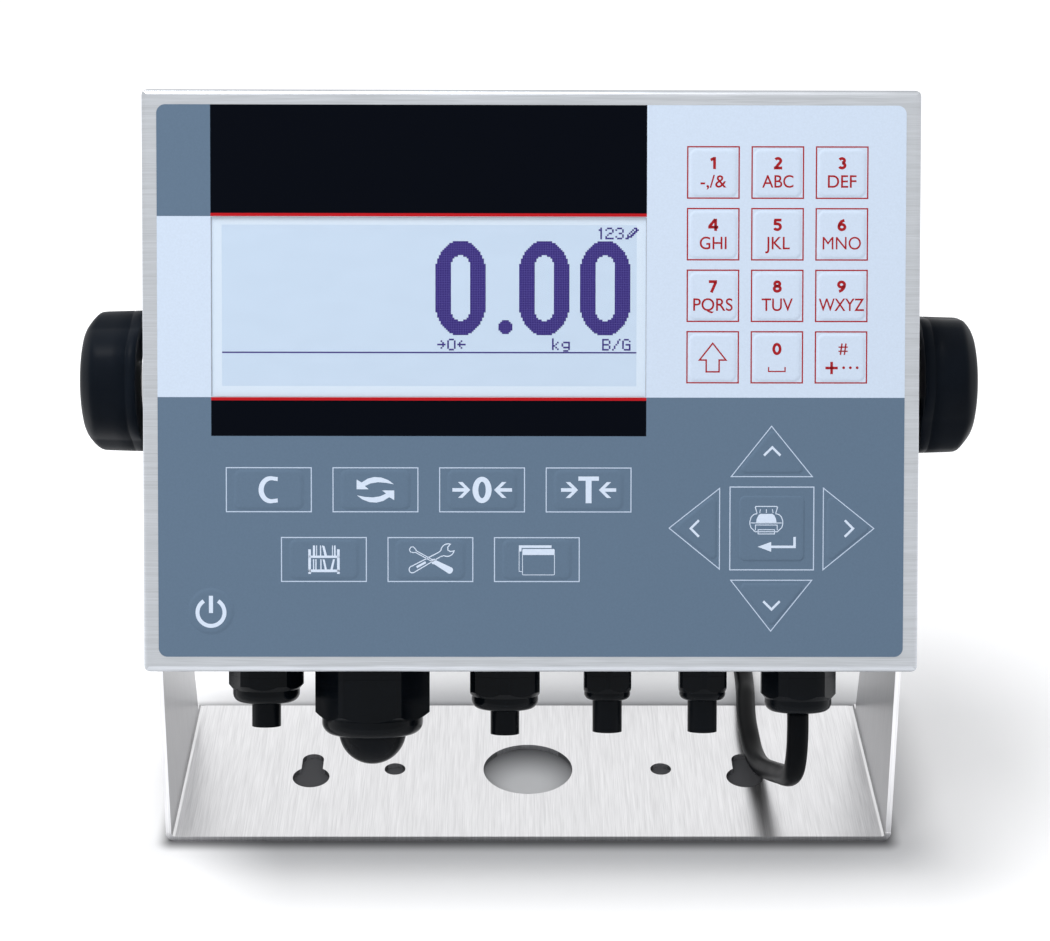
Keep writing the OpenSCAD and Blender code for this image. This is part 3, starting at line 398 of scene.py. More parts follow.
# %% Moulded skin group
def skin_group():
    group, given, result = new_group(
        "Moulded skin",
        [("Scale", "Float", 900.0), ("Patches", "Float", 40.0), ("Base", "Color", (0, 0, 0, 1)),
         ("Worn", "Color", (0.1, 0.1, 0.1, 1)), ("Smooth", "Float", 0.3), ("Rough", "Float", 0.5)],
        [("Color", "Color"), ("Roughness", "Float"), ("Height", "Float")])
    worn = ramp(group, noise(group, given["Patches"], 3), 0.35, 0.75)
    gap = maths(group, "SUBTRACT", given["Rough"], given["Smooth"])
    feed(group, result["Color"], mixed(group, worn, given["Base"], given["Worn"]))
    feed(group, result["Roughness"], maths(group, "MULTIPLY_ADD", worn, gap, given["Smooth"]))
    feed(group, result["Height"], noise(group, given["Scale"], 3))
    return group


skin = skin_group()
print("skin group with", len(skin.nodes), "nodes")

# %% [markdown]
# Each moulding gives two tones, how fine and how deep its texture is, the roughness of its shiny
# and of its dull patches, and a gloss. The nylon of the glands shines most, the gasket least. A low
# index of refraction keeps black plastic from turning grey where it's seen at a flat angle.

# %% Mouldings
def moulding(name, base, worn, scale, bump, smooth, rough, gloss=0.2):
    material, tree, shader = new_finish(name, ink(*base), rough, Specular_IOR_Level=gloss, IOR=1.2)
    inputs = {"Scale": scale, "Base": ink(*base), "Worn": ink(*worn), "Smooth": smooth,
              "Rough": rough}
    dress(tree, shader, add_node(tree, "ShaderNodeGroup", inputs, node_tree=skin), bump, 0.05)
    return material


for slot, *values in (
        ("knob_plastic", "knob_plastic", (11, 16, 23), (17, 23, 31), 1500, 0.35, 0.36, 0.48),
        ("gland_plastic", "gland_nylon", (6, 10, 14), (12, 16, 21), 1200, 0.1, 0.12, 0.26, 0.4),
        ("plug_rubber", "gland_rods", (8, 11, 15), (14, 18, 23), 900, 0.2, 0.22, 0.4, 0.3),
        ("cord_rubber", "lead_sheath", (5, 7, 10), (10, 12, 16), 700, 0.12, 0.3, 0.42),
        ("plug_plastic", "plug_vinyl", (22, 23, 25), (32, 33, 36), 1100, 0.3, 0.34, 0.5),
        ("gasket_rubber", "gasket_rubber", (30, 30, 31), (48, 48, 49), 800, 0.3, 0.55, 0.75),
        ("friction_plastic", "disc_plastic", (38, 38, 40), (54, 54, 57), 1000, 0.2, 0.35, 0.5),
        ("board", "board_green", (22, 74, 48), (36, 98, 62), 500, 0.2, 0.25, 0.45)):
    finishes[slot] = moulding(*values)
lead.data.materials.append(finishes["cord_rubber"])
print(len(finishes), "finishes so far")

# %% [markdown]
# ### Printed film
# The whole keypad is one sheet of polyester, printed on its back: a blue grey field, a pale field
# round the number keys, and a black band above and below the display with a red rule beside each.
# All the borders are straight, so the colour can be worked out from the place on the face. The key
# areas use the same group, so the fields run on over them without a join.

# %% Film group
FIELDS = {"blue": ink(98, 118, 139), "pale": ink(205, 219, 237), "black": ink(6, 9, 17),
          "red": ink(184, 30, 36)}
BAND_LEFT, BAND_RIGHT, BAND_LOW = -108.9, 39.1, -18.4
WINDOW_LOW, WINDOW_HIGH, RULE = -5.2, 56.1, 1.1


def film_group():
    group, given, result = new_group("Printed fields", [("Mottle", "Float", 1.0)],
                                     [("Color", "Color"), ("Height", "Float")])
    u, y, z = place_xyz(group)
    forward = maths(group, "MULTIPLY", maths(group, "ADD", y, -HINGE.y * MM), sin(TILT))
    w = maths(group, "MULTIPLY_ADD", maths(group, "SUBTRACT", z, HINGE.z * MM), cos(TILT), forward)

    def above(value, edge):
        return maths(group, "GREATER_THAN", value, edge * MM)

    def both(a, b):
        return maths(group, "MULTIPLY", a, b)

    def without(a):
        return maths(group, "SUBTRACT", 1, a)

    def between(value, low, high):
        return both(above(value, low), without(above(value, high)))

    band = between(u, BAND_LEFT, BAND_RIGHT)
    corner = both(without(above(u, BAND_LEFT)), above(w, WINDOW_HIGH))
    pale = both(above(w, WINDOW_LOW), without(corner))
    rules = both(without(between(w, WINDOW_LOW, WINDOW_HIGH)),
                 between(w, WINDOW_LOW - RULE, WINDOW_HIGH + RULE))
    bands = maths(group, "MAXIMUM", above(w, WINDOW_HIGH + RULE),
                  between(w, BAND_LOW, WINDOW_LOW - RULE))
    colour = FIELDS["blue"]
    for paint, mask in (("pale", pale), ("red", both(band, rules)), ("black", both(band, bands))):
        colour = mixed(group, mask, colour, FIELDS[paint])
    speck = noise(group, 1400)
    change = both(maths(group, "SUBTRACT", speck, 0.5), given["Mottle"])
    feed(group, result["Color"], dimmed(group, colour, maths(group, "MULTIPLY_ADD", change, 0.12, 1)))
    feed(group, result["Height"], speck)
    return group


fields = film_group()


def film(name, bump, roughness):
    material, tree, shader = new_finish(name, FIELDS["blue"], roughness, Specular_IOR_Level=0.02)
    dress(tree, shader, add_node(tree, "ShaderNodeGroup", node_tree=fields), bump, 0.01)
    return material


for name, bump, roughness in (("panel_film", 0.08, 0.42), ("key_film", 0.08, 0.4),
                              ("number_key_film", 0.06, 0.4), ("circuit_film", 0.1, 0.5)):
    finishes[name] = film(name, bump, roughness)
print("film group with", len(fields.nodes), "nodes")

# %% [markdown]
# ### Window and display glass
# The window is clear film with a slight shine. Full transmission would darken the display behind
# it, because light passes such a surface twice, so a low alpha is used. The display's glass shows
# its pale backlight, which is never quite even. Its border is laid on later, with the print.

# %% Window and glass
window, tree, shader = new_finish("window_film", (0, 0, 0, 1), 0.12, Alpha=0.02,
                                  Specular_IOR_Level=0.05)
finishes["window_film"] = window
window.surface_render_method = "BLENDED"

glass, tree, shader = new_finish("display_glass", ink(203, 221, 241), 0.3, Specular_IOR_Level=0.05)
cloud = add_node(tree, "ShaderNodeTexNoise", {"Scale": 12})
feed(tree, shader.inputs["Base Color"],
     mixed(tree, cloud.outputs["Fac"], ink(200, 218, 238), ink(206, 224, 244)))
finishes["display_glass"] = glass
print("window and display glass are ready")

# %% [markdown]
# ### Giving each piece its finish
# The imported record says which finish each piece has, so one loop over the pieces is enough. The
# CAD meshes stay as they are, with the bends and rounded edges that the real pieces have.

# %% Finishes on the CAD pieces
slots = {row["node"]: row["material_slot"] for row in frame["record"]["subparts"]}
for name, piece in nodes.items():
    for holder in piece.material_slots:
        holder.material = finishes[slots[name]]
print("finished", len(slots), "pieces")


# %% [markdown]
# ## Clamping knobs
# The knobs are round grips with three wide, soft lobes, finer than a CAD solid of arcs shows. A grid
# of points does it better: each ring's radius is the smaller of two radii, one for the lobes and one
# for the bold slope at the outer end, and a smooth minimum rounds the edge where they meet. The
# slope is a list of pairs: how far in from the end, and the radius there. A fine seam runs round
# each grip near the arm, where the halves of its mould met.

# %% Knob grips
CREST_R, DIP, LOBES, DRAFT = 25.5, 2.3, 3, 0.03
FLANK_FROM, FLANK = 26, 34
SEAM_IN, SEAM_DEPTH, OPEN_R = 3.6, 0.4, 27.5
END_SLOPE = [(0, 0.01), (0.1, 9), (0.25, 14), (0.5, 17), (0.9, 18.6), (1.5, 19.9), (2.4, 21.2),
             (3.6, 22.7), (4.6, 23.9), (5.4, 24.9), (6.3, 25.8), (8, OPEN_R), (12, OPEN_R)]


def soft_least(a, b, reach=1.6):
    """The smaller of two lengths, eased where they are nearly alike."""
    h = max(reach - abs(a - b), 0) / reach
    return min(a, b) - h * h * reach / 4


def lobe_radius(angle):
    """Full radius over each lobe, and a nearly straight flank down to the valley between two."""
    from_crest = abs((angle + 180 / LOBES) % (360 / LOBES) - 180 / LOBES)
    share = min(max((from_crest - FLANK_FROM) / FLANK, 0), 1)
    return CREST_R - DIP * (share * share * (3 - 2 * share) * 0.5 + share * 0.5)


def grip(name, side, shorter, crest):
    """A grip as long as its CAD knob less shorter, with a crest at this angle from the front."""
    inner, outer = sorted(abs(corner.x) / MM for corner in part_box("knob_" + name))
    length = outer - inner - shorter
    seam = length - SEAM_IN
    rings = END_SLOPE + [(seam - 0.3, OPEN_R), (seam, 0), (seam + 0.3, OPEN_R),
                         (length - 0.1, OPEN_R), (length, 24.5), (length, 5)]
    count, points, faces = 180, [], []
    for row, (back, least) in enumerate(rings):
        for k in range(count):
            angle = 360 * k / count
            lobe = lobe_radius(angle - crest) - DRAFT * (length - back)
            r = soft_least(least, lobe) if least else lobe - SEAM_DEPTH
            across = cos(radians(angle)) * -Vector(FACE_IN) + sin(radians(angle)) * Vector(FACE_UP)
            points.append(Vector((side * (inner + length - back), HINGE.y, HINGE.z)) + r * across)
        if row:
            a, b = (row - 1) * count, row * count
            for k in range(count):
                n = (k + 1) % count
                faces.append((a + k, a + n, b + n, b + k)[::side])
    piece = new_piece("grip_" + name, points, faces)
    piece.data.materials.append(finishes["knob_plastic"])
    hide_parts("knob_" + name)
    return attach(piece, name + "_knob")


grips = [grip("left", -1, 0.9, -5), grip("right", 1, 1.7, 24)]
print("grips reach", [round(max(abs(v.co.x) for v in g.data.vertices) / MM, 1) for g in grips])

# %% [markdown]
# ## Print
# Letters and outlines are thin flat shapes, a hundredth of a millimetre above the film. They are
# drawn in the face's own flat coordinates in millimetres, right and up from its middle, and then
# carried onto the tilted face. A small drawing kit keeps every key's drawing to a few lines.

# %% The face and its type
FACE_OUT = Vector((0, -45.6, 0))
FACE = (Matrix.Translation(HINGE * MM) @ Matrix.Rotation(-TILT, 4, "X")
        @ Matrix.Translation(FACE_OUT * MM)
        @ Matrix(((1, 0, 0, 0), (0, 0, -1, 0), (0, 1, 0, 0), (0, 0, 0, 1)))
        @ Matrix.Scale(MM, 4))


def on_face(name, points, faces, material, smooth=False):
    """A piece from points in the face's own coordinates: right, up and out from its middle."""
    piece = new_piece(name, [FACE @ Vector(p) for p in points], faces, smooth, unit=1)
    piece.data.materials.append(material)
    return piece


def set_type(text, weight):
    """Points and faces of a line of type in Blender's own font, made bolder by weight."""
    curve = bpy.data.curves.new("type", "FONT")
    curve.body, curve.offset = text, weight
    holder = bpy.data.objects.new("type", curve)
    mesh = bpy.data.meshes.new_from_object(holder)
    points = [v.co.to_2d() for v in mesh.vertices]
    faces = [tuple(p.vertices) for p in mesh.polygons]
    bpy.data.meshes.remove(mesh)
    bpy.data.objects.remove(holder)
    bpy.data.curves.remove(curve)
    return points, faces


def corners(x0, y0, x1, y1):
    return [(x0, y0), (x1, y0), (x1, y1), (x0, y1)]


def arc(x, y, rx, ry, start, stop, steps=36):
    """Points of an elliptical arc, from one angle to another in degrees."""
    angles = [radians(start + (stop - start) * k / (steps - 1)) for k in range(steps)]
    return [(x + rx * cos(angle), y + ry * sin(angle)) for angle in angles]


capital = [p.y for p in set_type("H", 0.0)[0]]
print("a capital reaches from", round(min(capital), 2), "to", round(max(capital), 2), "in the font")

# %% [markdown]
# A drawing collects flat shapes: filled outlines with holes, strokes of even width, and type. When
# it is done, it's laid on the face in one ink, and rides on the film or on the key that it marks.

# %% Drawing kit
FILM, PAD, LCD = 0.712, 0.972, 0.02


class Drawing:
    """Flat shapes, drawn round an origin on the face."""

    def __init__(self, x=0, y=0):
        self.x, self.y, self.points, self.faces = x, y, [], []

    def fill(self, outline, *holes):
        loops = [[Vector((p[0], p[1], 0)) for p in loop] for loop in (outline, *holes)]
        flat = [p for loop in loops for p in loop]
        base = len(self.points)
        self.points += [(self.x + p.x, self.y + p.y) for p in flat]
        for a, b, c in tessellate_polygon(loops):
            area = (flat[b] - flat[a]).cross(flat[c] - flat[a]).z
            if abs(area) > 1e-9:
                self.faces.append(tuple(base + k for k in ((a, b, c) if area > 0 else (a, c, b))))

    def bar(self, x0, y0, x1, y1):
        self.fill(corners(x0, y0, x1, y1))

    def stroke(self, points, width, closed=False):
        """A line of even width with mitred corners, along the middle of points."""
        points = [Vector(p) for p in points]
        sides = ([], [])
        for i, p in enumerate(points):
            arms = []
            if i or closed:
                arms.append((p - points[i - 1]).normalized())
            if i + 1 < len(points) or closed:
                arms.append((points[(i + 1) % len(points)] - p).normalized())
            ahead = sum(arms, Vector((0, 0))).normalized()
            reach = width / 2 / max(ahead.dot(arms[0]), 0.3)
            out = Vector((-ahead.y, ahead.x)) * reach
            sides[0].append(p + out)
            sides[1].append(p - out)
        if closed:
            self.fill(*sorted(sides, key=lambda side: -max(dist(v, points[0]) for v in side)))
        else:
            self.fill(sides[0] + sides[1][::-1])

    def box(self, w, h, width, x=0, y=0):
        self.stroke(corners(x - w / 2, y - h / 2, x + w / 2, y + h / 2), width, closed=True)

    def words(self, text, x, y, height, width, weight):
        """Type with its capitals this high, centred on x and y and drawn out to this width."""
        points, faces = set_type(text, weight)
        tops = [p.y for p in set_type("H", weight)[0]]
        low, high = min(tops), max(tops)
        left, right = min(p.x for p in points), max(p.x for p in points)
        tall, wide = height / (high - low), width / (right - left)
        base = len(self.points)
        self.points += [(self.x + x + (p.x - (left + right) / 2) * wide,
                         self.y + y + (p.y - (low + high) / 2) * tall) for p in points]
        self.faces += [tuple(base + k for k in face) for face in faces]

    def lay(self, name, height, material, body):
        """Puts the drawing on the face at this height and lets it ride on a body."""
        piece = on_face(name, [(x, y, height) for x, y in self.points], self.faces, material)
        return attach(piece, body)

    def mark(self, key, material):
        """Puts the drawing on a key, which carries it."""
        return self.lay("sign_" + key, PAD, material, "key_" + key)


print("film, pads and display lie", FILM, PAD, "and", LCD, "mm above the face")

# %% [markdown]
# ### Inks
# Screen-printed ink is dense and slightly rough. Red is used on the pale field, near white on the
# blue one, and a slightly darker white for the thin frames there. A little noise in the colour
# keeps each from looking like a flat fill.

# %% Inks
def print_ink(name, colour, darker, roughness=0.45):
    material, tree, shader = new_finish(name, colour, roughness, Specular_IOR_Level=0.1)
    feed(tree, shader.inputs["Base Color"], mixed(tree, noise(tree, 900), darker, colour))
    return material


red_ink = print_ink("red_ink", ink(168, 34, 40), ink(156, 28, 34))
white_ink = print_ink("white_ink", ink(218, 230, 246), ink(204, 218, 238))
line_ink = print_ink("line_ink", ink(200, 214, 234), ink(186, 202, 224))
print("inks:", red_ink.name, white_ink.name, line_ink.name)

# %% [markdown]
# ### Raised key areas
# Each key area is the same film, pressed up by a quarter of a millimetre, so its edge is a soft
# slope and not a cut. The slope is a narrow skirt round the pad's outline, which is read from the
# CAD piece itself.

# %% Key slopes
FILM_TOP = 0.704
SLOPE_WIDTH = {"number_key_film": 0.8, "key_film": 1.0}
NARROW = {"key_enter": 0.5, "key_up": 0.7, "key_down": 0.7, "key_left": 0.7, "key_right": 0.7}


def key_slope(key, spread, finish):
    """A skirt round a key, from just inside its upper edge to this far out on the film."""
    inverse = FACE.inverted()
    flat = [inverse @ v.co for v in nodes[key].data.vertices]
    top = max(p.z for p in flat)
    rim = [p.to_2d() for p in flat if p.z > top - 0.01]
    hull = [rim[k] for k in convex_hull_2d(rim)]
    hull = [p for i, p in enumerate(hull) if (p - hull[i - 1]).length > 0.02]
    count = len(hull)
    outs = []
    for i, p in enumerate(hull):
        edges = [(p - hull[i - 1]).normalized(), (hull[(i + 1) % count] - p).normalized()]
        ahead = (edges[0] + edges[1]).normalized()
        outs.append(Vector((ahead.y, -ahead.x)) / max(ahead.dot(edges[0]), 0.5))
    area = sum(a.cross(b) for a, b in zip(hull, hull[1:] + hull[:1]))
    way = 1 if area > 0 else -1
    points, faces = [], []
    steps = [(-0.7, top + 0.008), (-0.1, top + 0.006), (0.25 * spread, top - 0.045),
             (0.75 * spread, FILM_TOP + 0.053), (spread, FILM_TOP)]
    for level, (out, height) in enumerate(steps):
        points += [(*(p + way * out * o), height) for p, o in zip(hull, outs)]
        if level:
            for k in range(count):
                n, a, b = (k + 1) % count, (level - 1) * count, level * count
                faces.append((a + k, b + k, b + n, a + n)[::way])
    piece = on_face(key.replace("key_", "slope_"), points, faces, finishes[finish], smooth=True)
    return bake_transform(piece)


keys = [name for name in nodes if name.startswith("key_")]
for key in keys:
    key_slope(key, NARROW.get(key, SLOPE_WIDTH[slots[key]]), slots[key])
print("slopes for", len(keys), "keys")

# %% [markdown]
# ### Number keys
# Each of the twelve keys has a thin red frame on the film and its sign on the pad: a bold number
# over light letters, as on a telephone. The frames belong to the film and stay still, and each sign
# rides on its own key, so it goes in when the key is pressed. A bold number is a few broad strokes,
# and a stroke whose ends nearly meet is closed to a ring.

# %% Bold numbers
BOLD, WIDER, TALLER, NEAR = 0.96, 1.14, 1.02, 0.4
TOP_BOW = arc(-0.1, 0.87, 0.78, 0.7, 155, -88, 14)
LOW_BOW = arc(-0.1, -0.74, 0.9, 0.83, 88, -150, 16)
SIX = [arc(0, -0.68, 0.9, 0.89, 0, 343, 22), arc(1.1, -0.62, 2.0, 2.2, 100, 176, 12)]
NUMBERS = {
    "0": [arc(0, 0, 0.95, 1.57, 0, 350, 30)],
    "1": [[(-0.85, 1.0), (0.3, 1.62)], [(0.3, 2), (0.3, -2)]],
    "2": [[*arc(0, 0.78, 0.85, 0.8, 150, -25, 12), (-0.72, -1.6)], [(-1.2, -1.6), (1.25, -1.6)]],
    "3": [TOP_BOW, LOW_BOW],
    "4": [[(0.7, 2), (0.7, -2)], [(0.6, 1.85), (-1.15, -0.6)], [(-1.5, -0.78), (1.5, -0.78)]],
    "5": [[(-1.0, 1.6), (1.15, 1.6)], [(-0.7, 1.6), (-0.78, -0.1)],
          arc(-0.12, -0.6, 0.98, 0.98, 115, -150, 16)],
    "6": SIX,
    "7": [[(-1.25, 1.6), (1.2, 1.6)], [(0.85, 1.5), (-0.5, -2)]],
    "8": [arc(0, 0.88, 0.76, 0.7, 0, 343, 22), arc(0, -0.74, 0.92, 0.83, 0, 343, 22)],
    "9": [[(-x, -y) for x, y in line] for line in SIX]}


def bold_digit(drawing, digit, y):
    for line in NUMBERS[digit]:
        points = [(WIDER * px, TALLER * py + y) for px, py in line]
        drawing.stroke(points, BOLD, closed=dist(line[0], line[-1]) < NEAR)


print("ten numbers of", sum(len(lines) for lines in NUMBERS.values()), "strokes")

# %% [markdown]
# The twelve keys stand in a grid, so two short lists give all their places. The letters come from
# Blender's own font, drawn out to the width that they have on the keypad and a little bolder. The
# letter M folds over itself when it's made bolder, so its word stays as the font has it.

# %% Number keys
COLUMNS = (61.6, 83.45, 105.3)
ROWS = (71.14, 50.27, 29.4, 8.53)
NUMBER_FRAME, RED_LINE = (17.45, 17.35), 0.46
DIGIT_Y, LETTER_Y, LETTER_H, LETTER_WEIGHT = 3.16, -3.0, 4.2, 0.006
red_frames = Drawing()
for x in COLUMNS:
    for y in ROWS:
        red_frames.box(*NUMBER_FRAME, RED_LINE, x, y)
red_frames.lay("number_frames", FILM, red_ink, "housing")

LETTERS = [("1", "-,/&", 8.8), ("2", "ABC", 10.6), ("3", "DEF", 9.7), ("4", "GHI", 9.1),
           ("5", "JKL", 8.4), ("6", "MNO", 13.0), ("7", "PQRS", 13.4), ("8", "TUV", 10.6),
           ("9", "WXYZ", 15.4)]
for i, (digit, letters, width) in enumerate(LETTERS):
    sign = Drawing(COLUMNS[i % 3], ROWS[i // 3])
    bold_digit(sign, digit, DIGIT_Y)
    sign.words(letters, 0, LETTER_Y, LETTER_H, width, 0.0 if "M" in letters else LETTER_WEIGHT)
    sign.mark(digit, red_ink)

shift = Drawing(COLUMNS[0], ROWS[3])
shift.stroke([(0, 4.75), (-4.5, -0.95), (-2.2, -0.95), (-2.2, -4.95), (2.2, -4.95), (2.2, -0.95),
              (4.5, -0.95)], 0.5, closed=True)
shift.mark("shift", red_ink)

nought = Drawing(COLUMNS[1], ROWS[3])
bold_digit(nought, "0", 2.85)
nought.stroke([(-2.8, -3.3), (-2.8, -4.8), (2.8, -4.8), (2.8, -3.3)], 0.42)
nought.mark("0", red_ink)

symbol = Drawing(COLUMNS[2], ROWS[3])
for x in (0.0, 1.35):
    symbol.stroke([(x + 0.3, 4.75), (x - 0.25, 0.85)], 0.5)
for y in (3.5, 2.1):
    symbol.bar(-0.9, y - 0.22, 2.25, y + 0.22)
symbol.bar(-5.3, -4.05, -1.1, -3.15)
symbol.bar(-3.65, -5.7, -2.75, -1.5)
for x in (0.9, 3.2, 5.5):
    symbol.fill(arc(x, -3.5, 0.48, 0.48, 0, 350))
symbol.mark("symbol", red_ink)
print("twelve number keys printed")

# %% [markdown]
# ### Function keys
# The seven function keys have white frames and pictograms that any scale has: clear, swap, zero,
# tare, library, settings and windows. The two arrows of the swap sign are one drawing, turned half
# way round for the second arrow.

# %% Function keys
UPPER = [(-89.4, -36.7), (-53.1, -36.7), (-16.8, -36.7), (19.5, -36.7)]
LOWER = [(-70.7, -60.5), (-34.4, -60.5), (1.9, -60.5)]
KEY_FRAME, LIGHT_LINE = (28.9, 15.0), 0.34
light_frames = Drawing()
for x, y in UPPER + LOWER:
    light_frames.box(*KEY_FRAME, LIGHT_LINE, x, y)


def arrow(drawing, tip, tail, head=2.7, shaft=0.6):
    """A bold arrow along X from tail to tip, with an open head."""
    way = 1 if tip > tail else -1
    back = tip - way * head
    thick = way * 1.5
    throat = tip - 1.35 * thick
    drawing.fill([(tip, 0), (back, head), (back - thick, head), (throat, shaft), (tail, shaft),
                  (tail, -shaft), (throat, -shaft), (back - thick, -head), (back, -head)])


clear = Drawing(*UPPER[0])
clear.fill([(3.1, 4.3), *arc(0.6, 0, 4.05, 4.6, 78, 282), (3.1, -4.3), (3.0, -2.95),
            *arc(1.0, 0, 2.7, 3.25, 282, 78), (3.0, 2.95)])
clear.mark("clear", white_ink)

swap = Drawing(*UPPER[1])
for s in (1, -1):
    swap.fill([(s * x, s * y) for x, y in
               [(6.3, 1.9), (4.4, 3.3), (2.0, 4.2), (-0.4, 4.35), (-2.6, 3.8), (-4.7, 2.5), (-6.4, 3.5),
                (-6.4, 0.2), (-2.3, 0.2), (-3.6, 1.3), (-1.6, 2.2), (0.9, 2.6), (3.6, 2.4)]])
swap.mark("swap", white_ink)

zero = Drawing(*UPPER[2])
zero.fill(arc(0, 0, 3.25, 4.5, 0, 350), arc(0, 0, 1.25, 2.8, 0, 350))
arrow(zero, -4.0, -10.1)
arrow(zero, 4.1, 10.2)
zero.mark("zero", white_ink)

tare = Drawing(*UPPER[3])
tare.bar(-3.5, 3.15, 3.5, 4.6)
tare.bar(-1.0, -4.5, 1.0, 3.15)
arrow(tare, -3.6, -9.4)
arrow(tare, 3.5, 9.4)
tare.mark("tare", white_ink)
print("upper row printed")

# %% [markdown]
# The lower row has three finer drawings. The shelf is a few posts and leaning books, the tools are
# a screwdriver across a spanner, and the windows are two outlines with filled title bars.

# %% Library, tools and windows
library = Drawing(*LOWER[0])
for x in (-5.3, 4.5):
    library.bar(x, -4.9, x + 0.9, 3.5)
library.bar(-5.3, 0.55, 5.4, 1.35)
library.bar(-5.3, -4.3, 5.4, -3.4)
SHELVES = [(1.35, 4.8, [(-3.7, -3.0), (-2.6, -2.3), (-1.3, -0.9), (2.8, 3.1), (3.5, 4.0)]),
           (-3.4, 0.1, [(-3.7, -3.3), (-2.9, -2.5), (-1.2, -0.8)])]
for low, high, books in SHELVES:
    for left, far in books:
        library.bar(left, low, far, high)
library.fill([(-0.6, 4.8), (0.2, 4.6), (1.1, 1.35), (0.2, 1.35)])
library.fill([(-0.4, 0.1), (0.3, 0.0), (1.0, -3.4), (0.3, -3.4)])
library.fill([(3.1, 0.1), (3.8, 0.1), (3.0, -3.4), (2.2, -3.4)])
library.mark("library", white_ink)


def turned(points, angle):
    """The points, turned round the middle of the drawing."""
    c, s = cos(radians(angle)), sin(radians(angle))
    return [(x * c - y * s, x * s + y * c) for x, y in points]


tools = Drawing(*LOWER[1])
jaw = [*arc(6.7, 0, 2.3, 2.1, 38, 150, 10), (3.6, 0.8), *arc(-6.9, 0, 1.25, 1.15, 75, 285, 12),
       (3.6, -0.8), *arc(6.7, 0, 2.3, 2.1, 210, 322, 10), (7.3, -0.9), (6.8, 0), (7.3, 0.9)]
tools.stroke(turned(jaw, 29), 0.34, closed=True)
tools.fill(turned([(-5.4, -0.38), (-1.8, -0.38), (-1.8, 0.38), (-5.4, 0.38)], 29))
blade = [(-7.9, 0.5), (-7.2, 1.0), (-6.2, 0.7), (-5.6, 0.3), (0.4, 0.3), (0.4, -0.3), (-5.6, -0.3),
         (-6.2, -0.7), (-7.2, -1.0), (-7.9, -0.5)]
tools.stroke(turned(blade, -29), 0.3, closed=True)
handle = [(0.4, 0.4), (1.2, 1.0), (2.0, 0.75), (7.6, 1.15), *arc(7.7, 0, 0.9, 1.15, 90, -90, 8),
          (2.0, -0.75), (1.2, -1.0), (0.4, -0.4)]
tools.fill(turned(handle, -29))
tools.mark("tools", white_ink)

windows = Drawing(*LOWER[2])
windows.fill([(-6.15, 2.8), (-5.25, 2.8), (-5.25, 4.0), (5.0, 4.0), (5.0, 4.9), (-6.15, 4.9)])
windows.stroke([(-6.05, 2.9), (-6.05, -4.0), (-5.1, -4.1)], 0.22)
windows.fill([(-4.95, 1.6), (6.05, 1.6), (6.05, 3.4), (5.8, 3.65), (-4.7, 3.65), (-4.95, 3.4)])
windows.stroke([(-4.9, 1.6), (-4.9, -5.0), (-4.7, -5.2), (5.8, -5.2), (6.0, -5.0), (6.0, 1.6)],
               0.22)
windows.mark("windows", white_ink)
print("lower row printed")

# %% [markdown]
# ### Arrow keys, enter and power
# The four arrow keys have triangular frames round a square one. The enter key shows a small printer
# above a return arrow, and the power sign is a broken ring with a bar.

# %% Arrow keys, enter and power
CROSS, SQUARE, SQUARE_LINE, ARROW_LINE = (82.05, -49.8), (28.6, 28.3), 0.36, 0.32
light_frames.box(*SQUARE, SQUARE_LINE, *CROSS)
for triangle in ([(81.8, -14.9), (68.1, -32.1), (95.8, -32.1)],
                 [(47.0, -49.7), (64.2, -63.7), (64.2, -36.1)],
                 [(116.9, -49.8), (99.6, -36.0), (99.6, -63.9)],
                 [(81.8, -84.95), (95.8, -67.5), (68.1, -67.5)]):
    light_frames.stroke(triangle, ARROW_LINE, closed=True)
light_frames.lay("light_frames", FILM, line_ink, "housing")

for name, angle in (("right", 0), ("up", 90), ("left", 180), ("down", 270)):
    chevron = Drawing(*CROSS)
    chevron.stroke(turned([(24.9, 2.8), (27.7, 0), (24.9, -2.8)], angle), 0.78)
    chevron.mark(name, white_ink)

enter = Drawing(*CROSS)
enter.fill([(-4.8, -6.25), (-0.2, -7.95), (-0.2, -6.68), (8.2, -6.68), (8.2, -2.85), (7.35, -2.85),
            (7.35, -5.83), (-0.2, -5.83), (-0.2, -4.55)])
enter.stroke([(-5.1, 5.2), (-5.7, 7.3), (-5.4, 7.55), (1.6, 7.55), (1.9, 7.3), (1.3, 5.2)], 0.3)
for x in (-4.2, -1.9, 0.4):
    enter.stroke([(x, 5.3), (x - 0.12 * (x + 1.9), 6.6)], 0.26)
enter.fill([(-5.4, 2.0), (-5.2, 3.3), (-4.6, 4.5), (-4.0, 5.0), (0.2, 5.0), (0.8, 4.5), (1.4, 3.3),
            (1.6, 2.0)])
enter.stroke([(-5.0, 5.1), (-6.2, 4.8), (-7.0, 4.0), (-7.5, 2.6), (-7.5, 1.4), (-7.1, 0.2),
              (-6.4, -0.4), (-5.7, -1.1), (1.9, -1.1), (2.6, -0.4), (3.3, 0.2), (3.7, 1.4), (3.7, 2.6),
              (3.2, 4.0), (2.4, 4.8), (1.2, 5.1)], 0.3)
enter.stroke([(-7.2, 1.9), (3.4, 1.9)], 0.3)
enter.stroke([(-5.6, -0.6), (-5.6, 1.2), (1.8, 1.2), (1.8, -0.6)], 0.28)
enter.stroke([(-4.7, -0.4), (0.9, -0.4), (0.9, -1.85), (-4.7, -1.85)], 0.28, closed=True)
enter.mark("enter", white_ink)

power = Drawing(-109.2, -78.2)
power.stroke(arc(0, -0.4, 4.6, 4.6, 122, 418, 40), 1.35)
power.bar(-0.7, -0.6, 0.7, 5.3)
power.mark("power", white_ink)
print("arrow keys, enter and power printed")

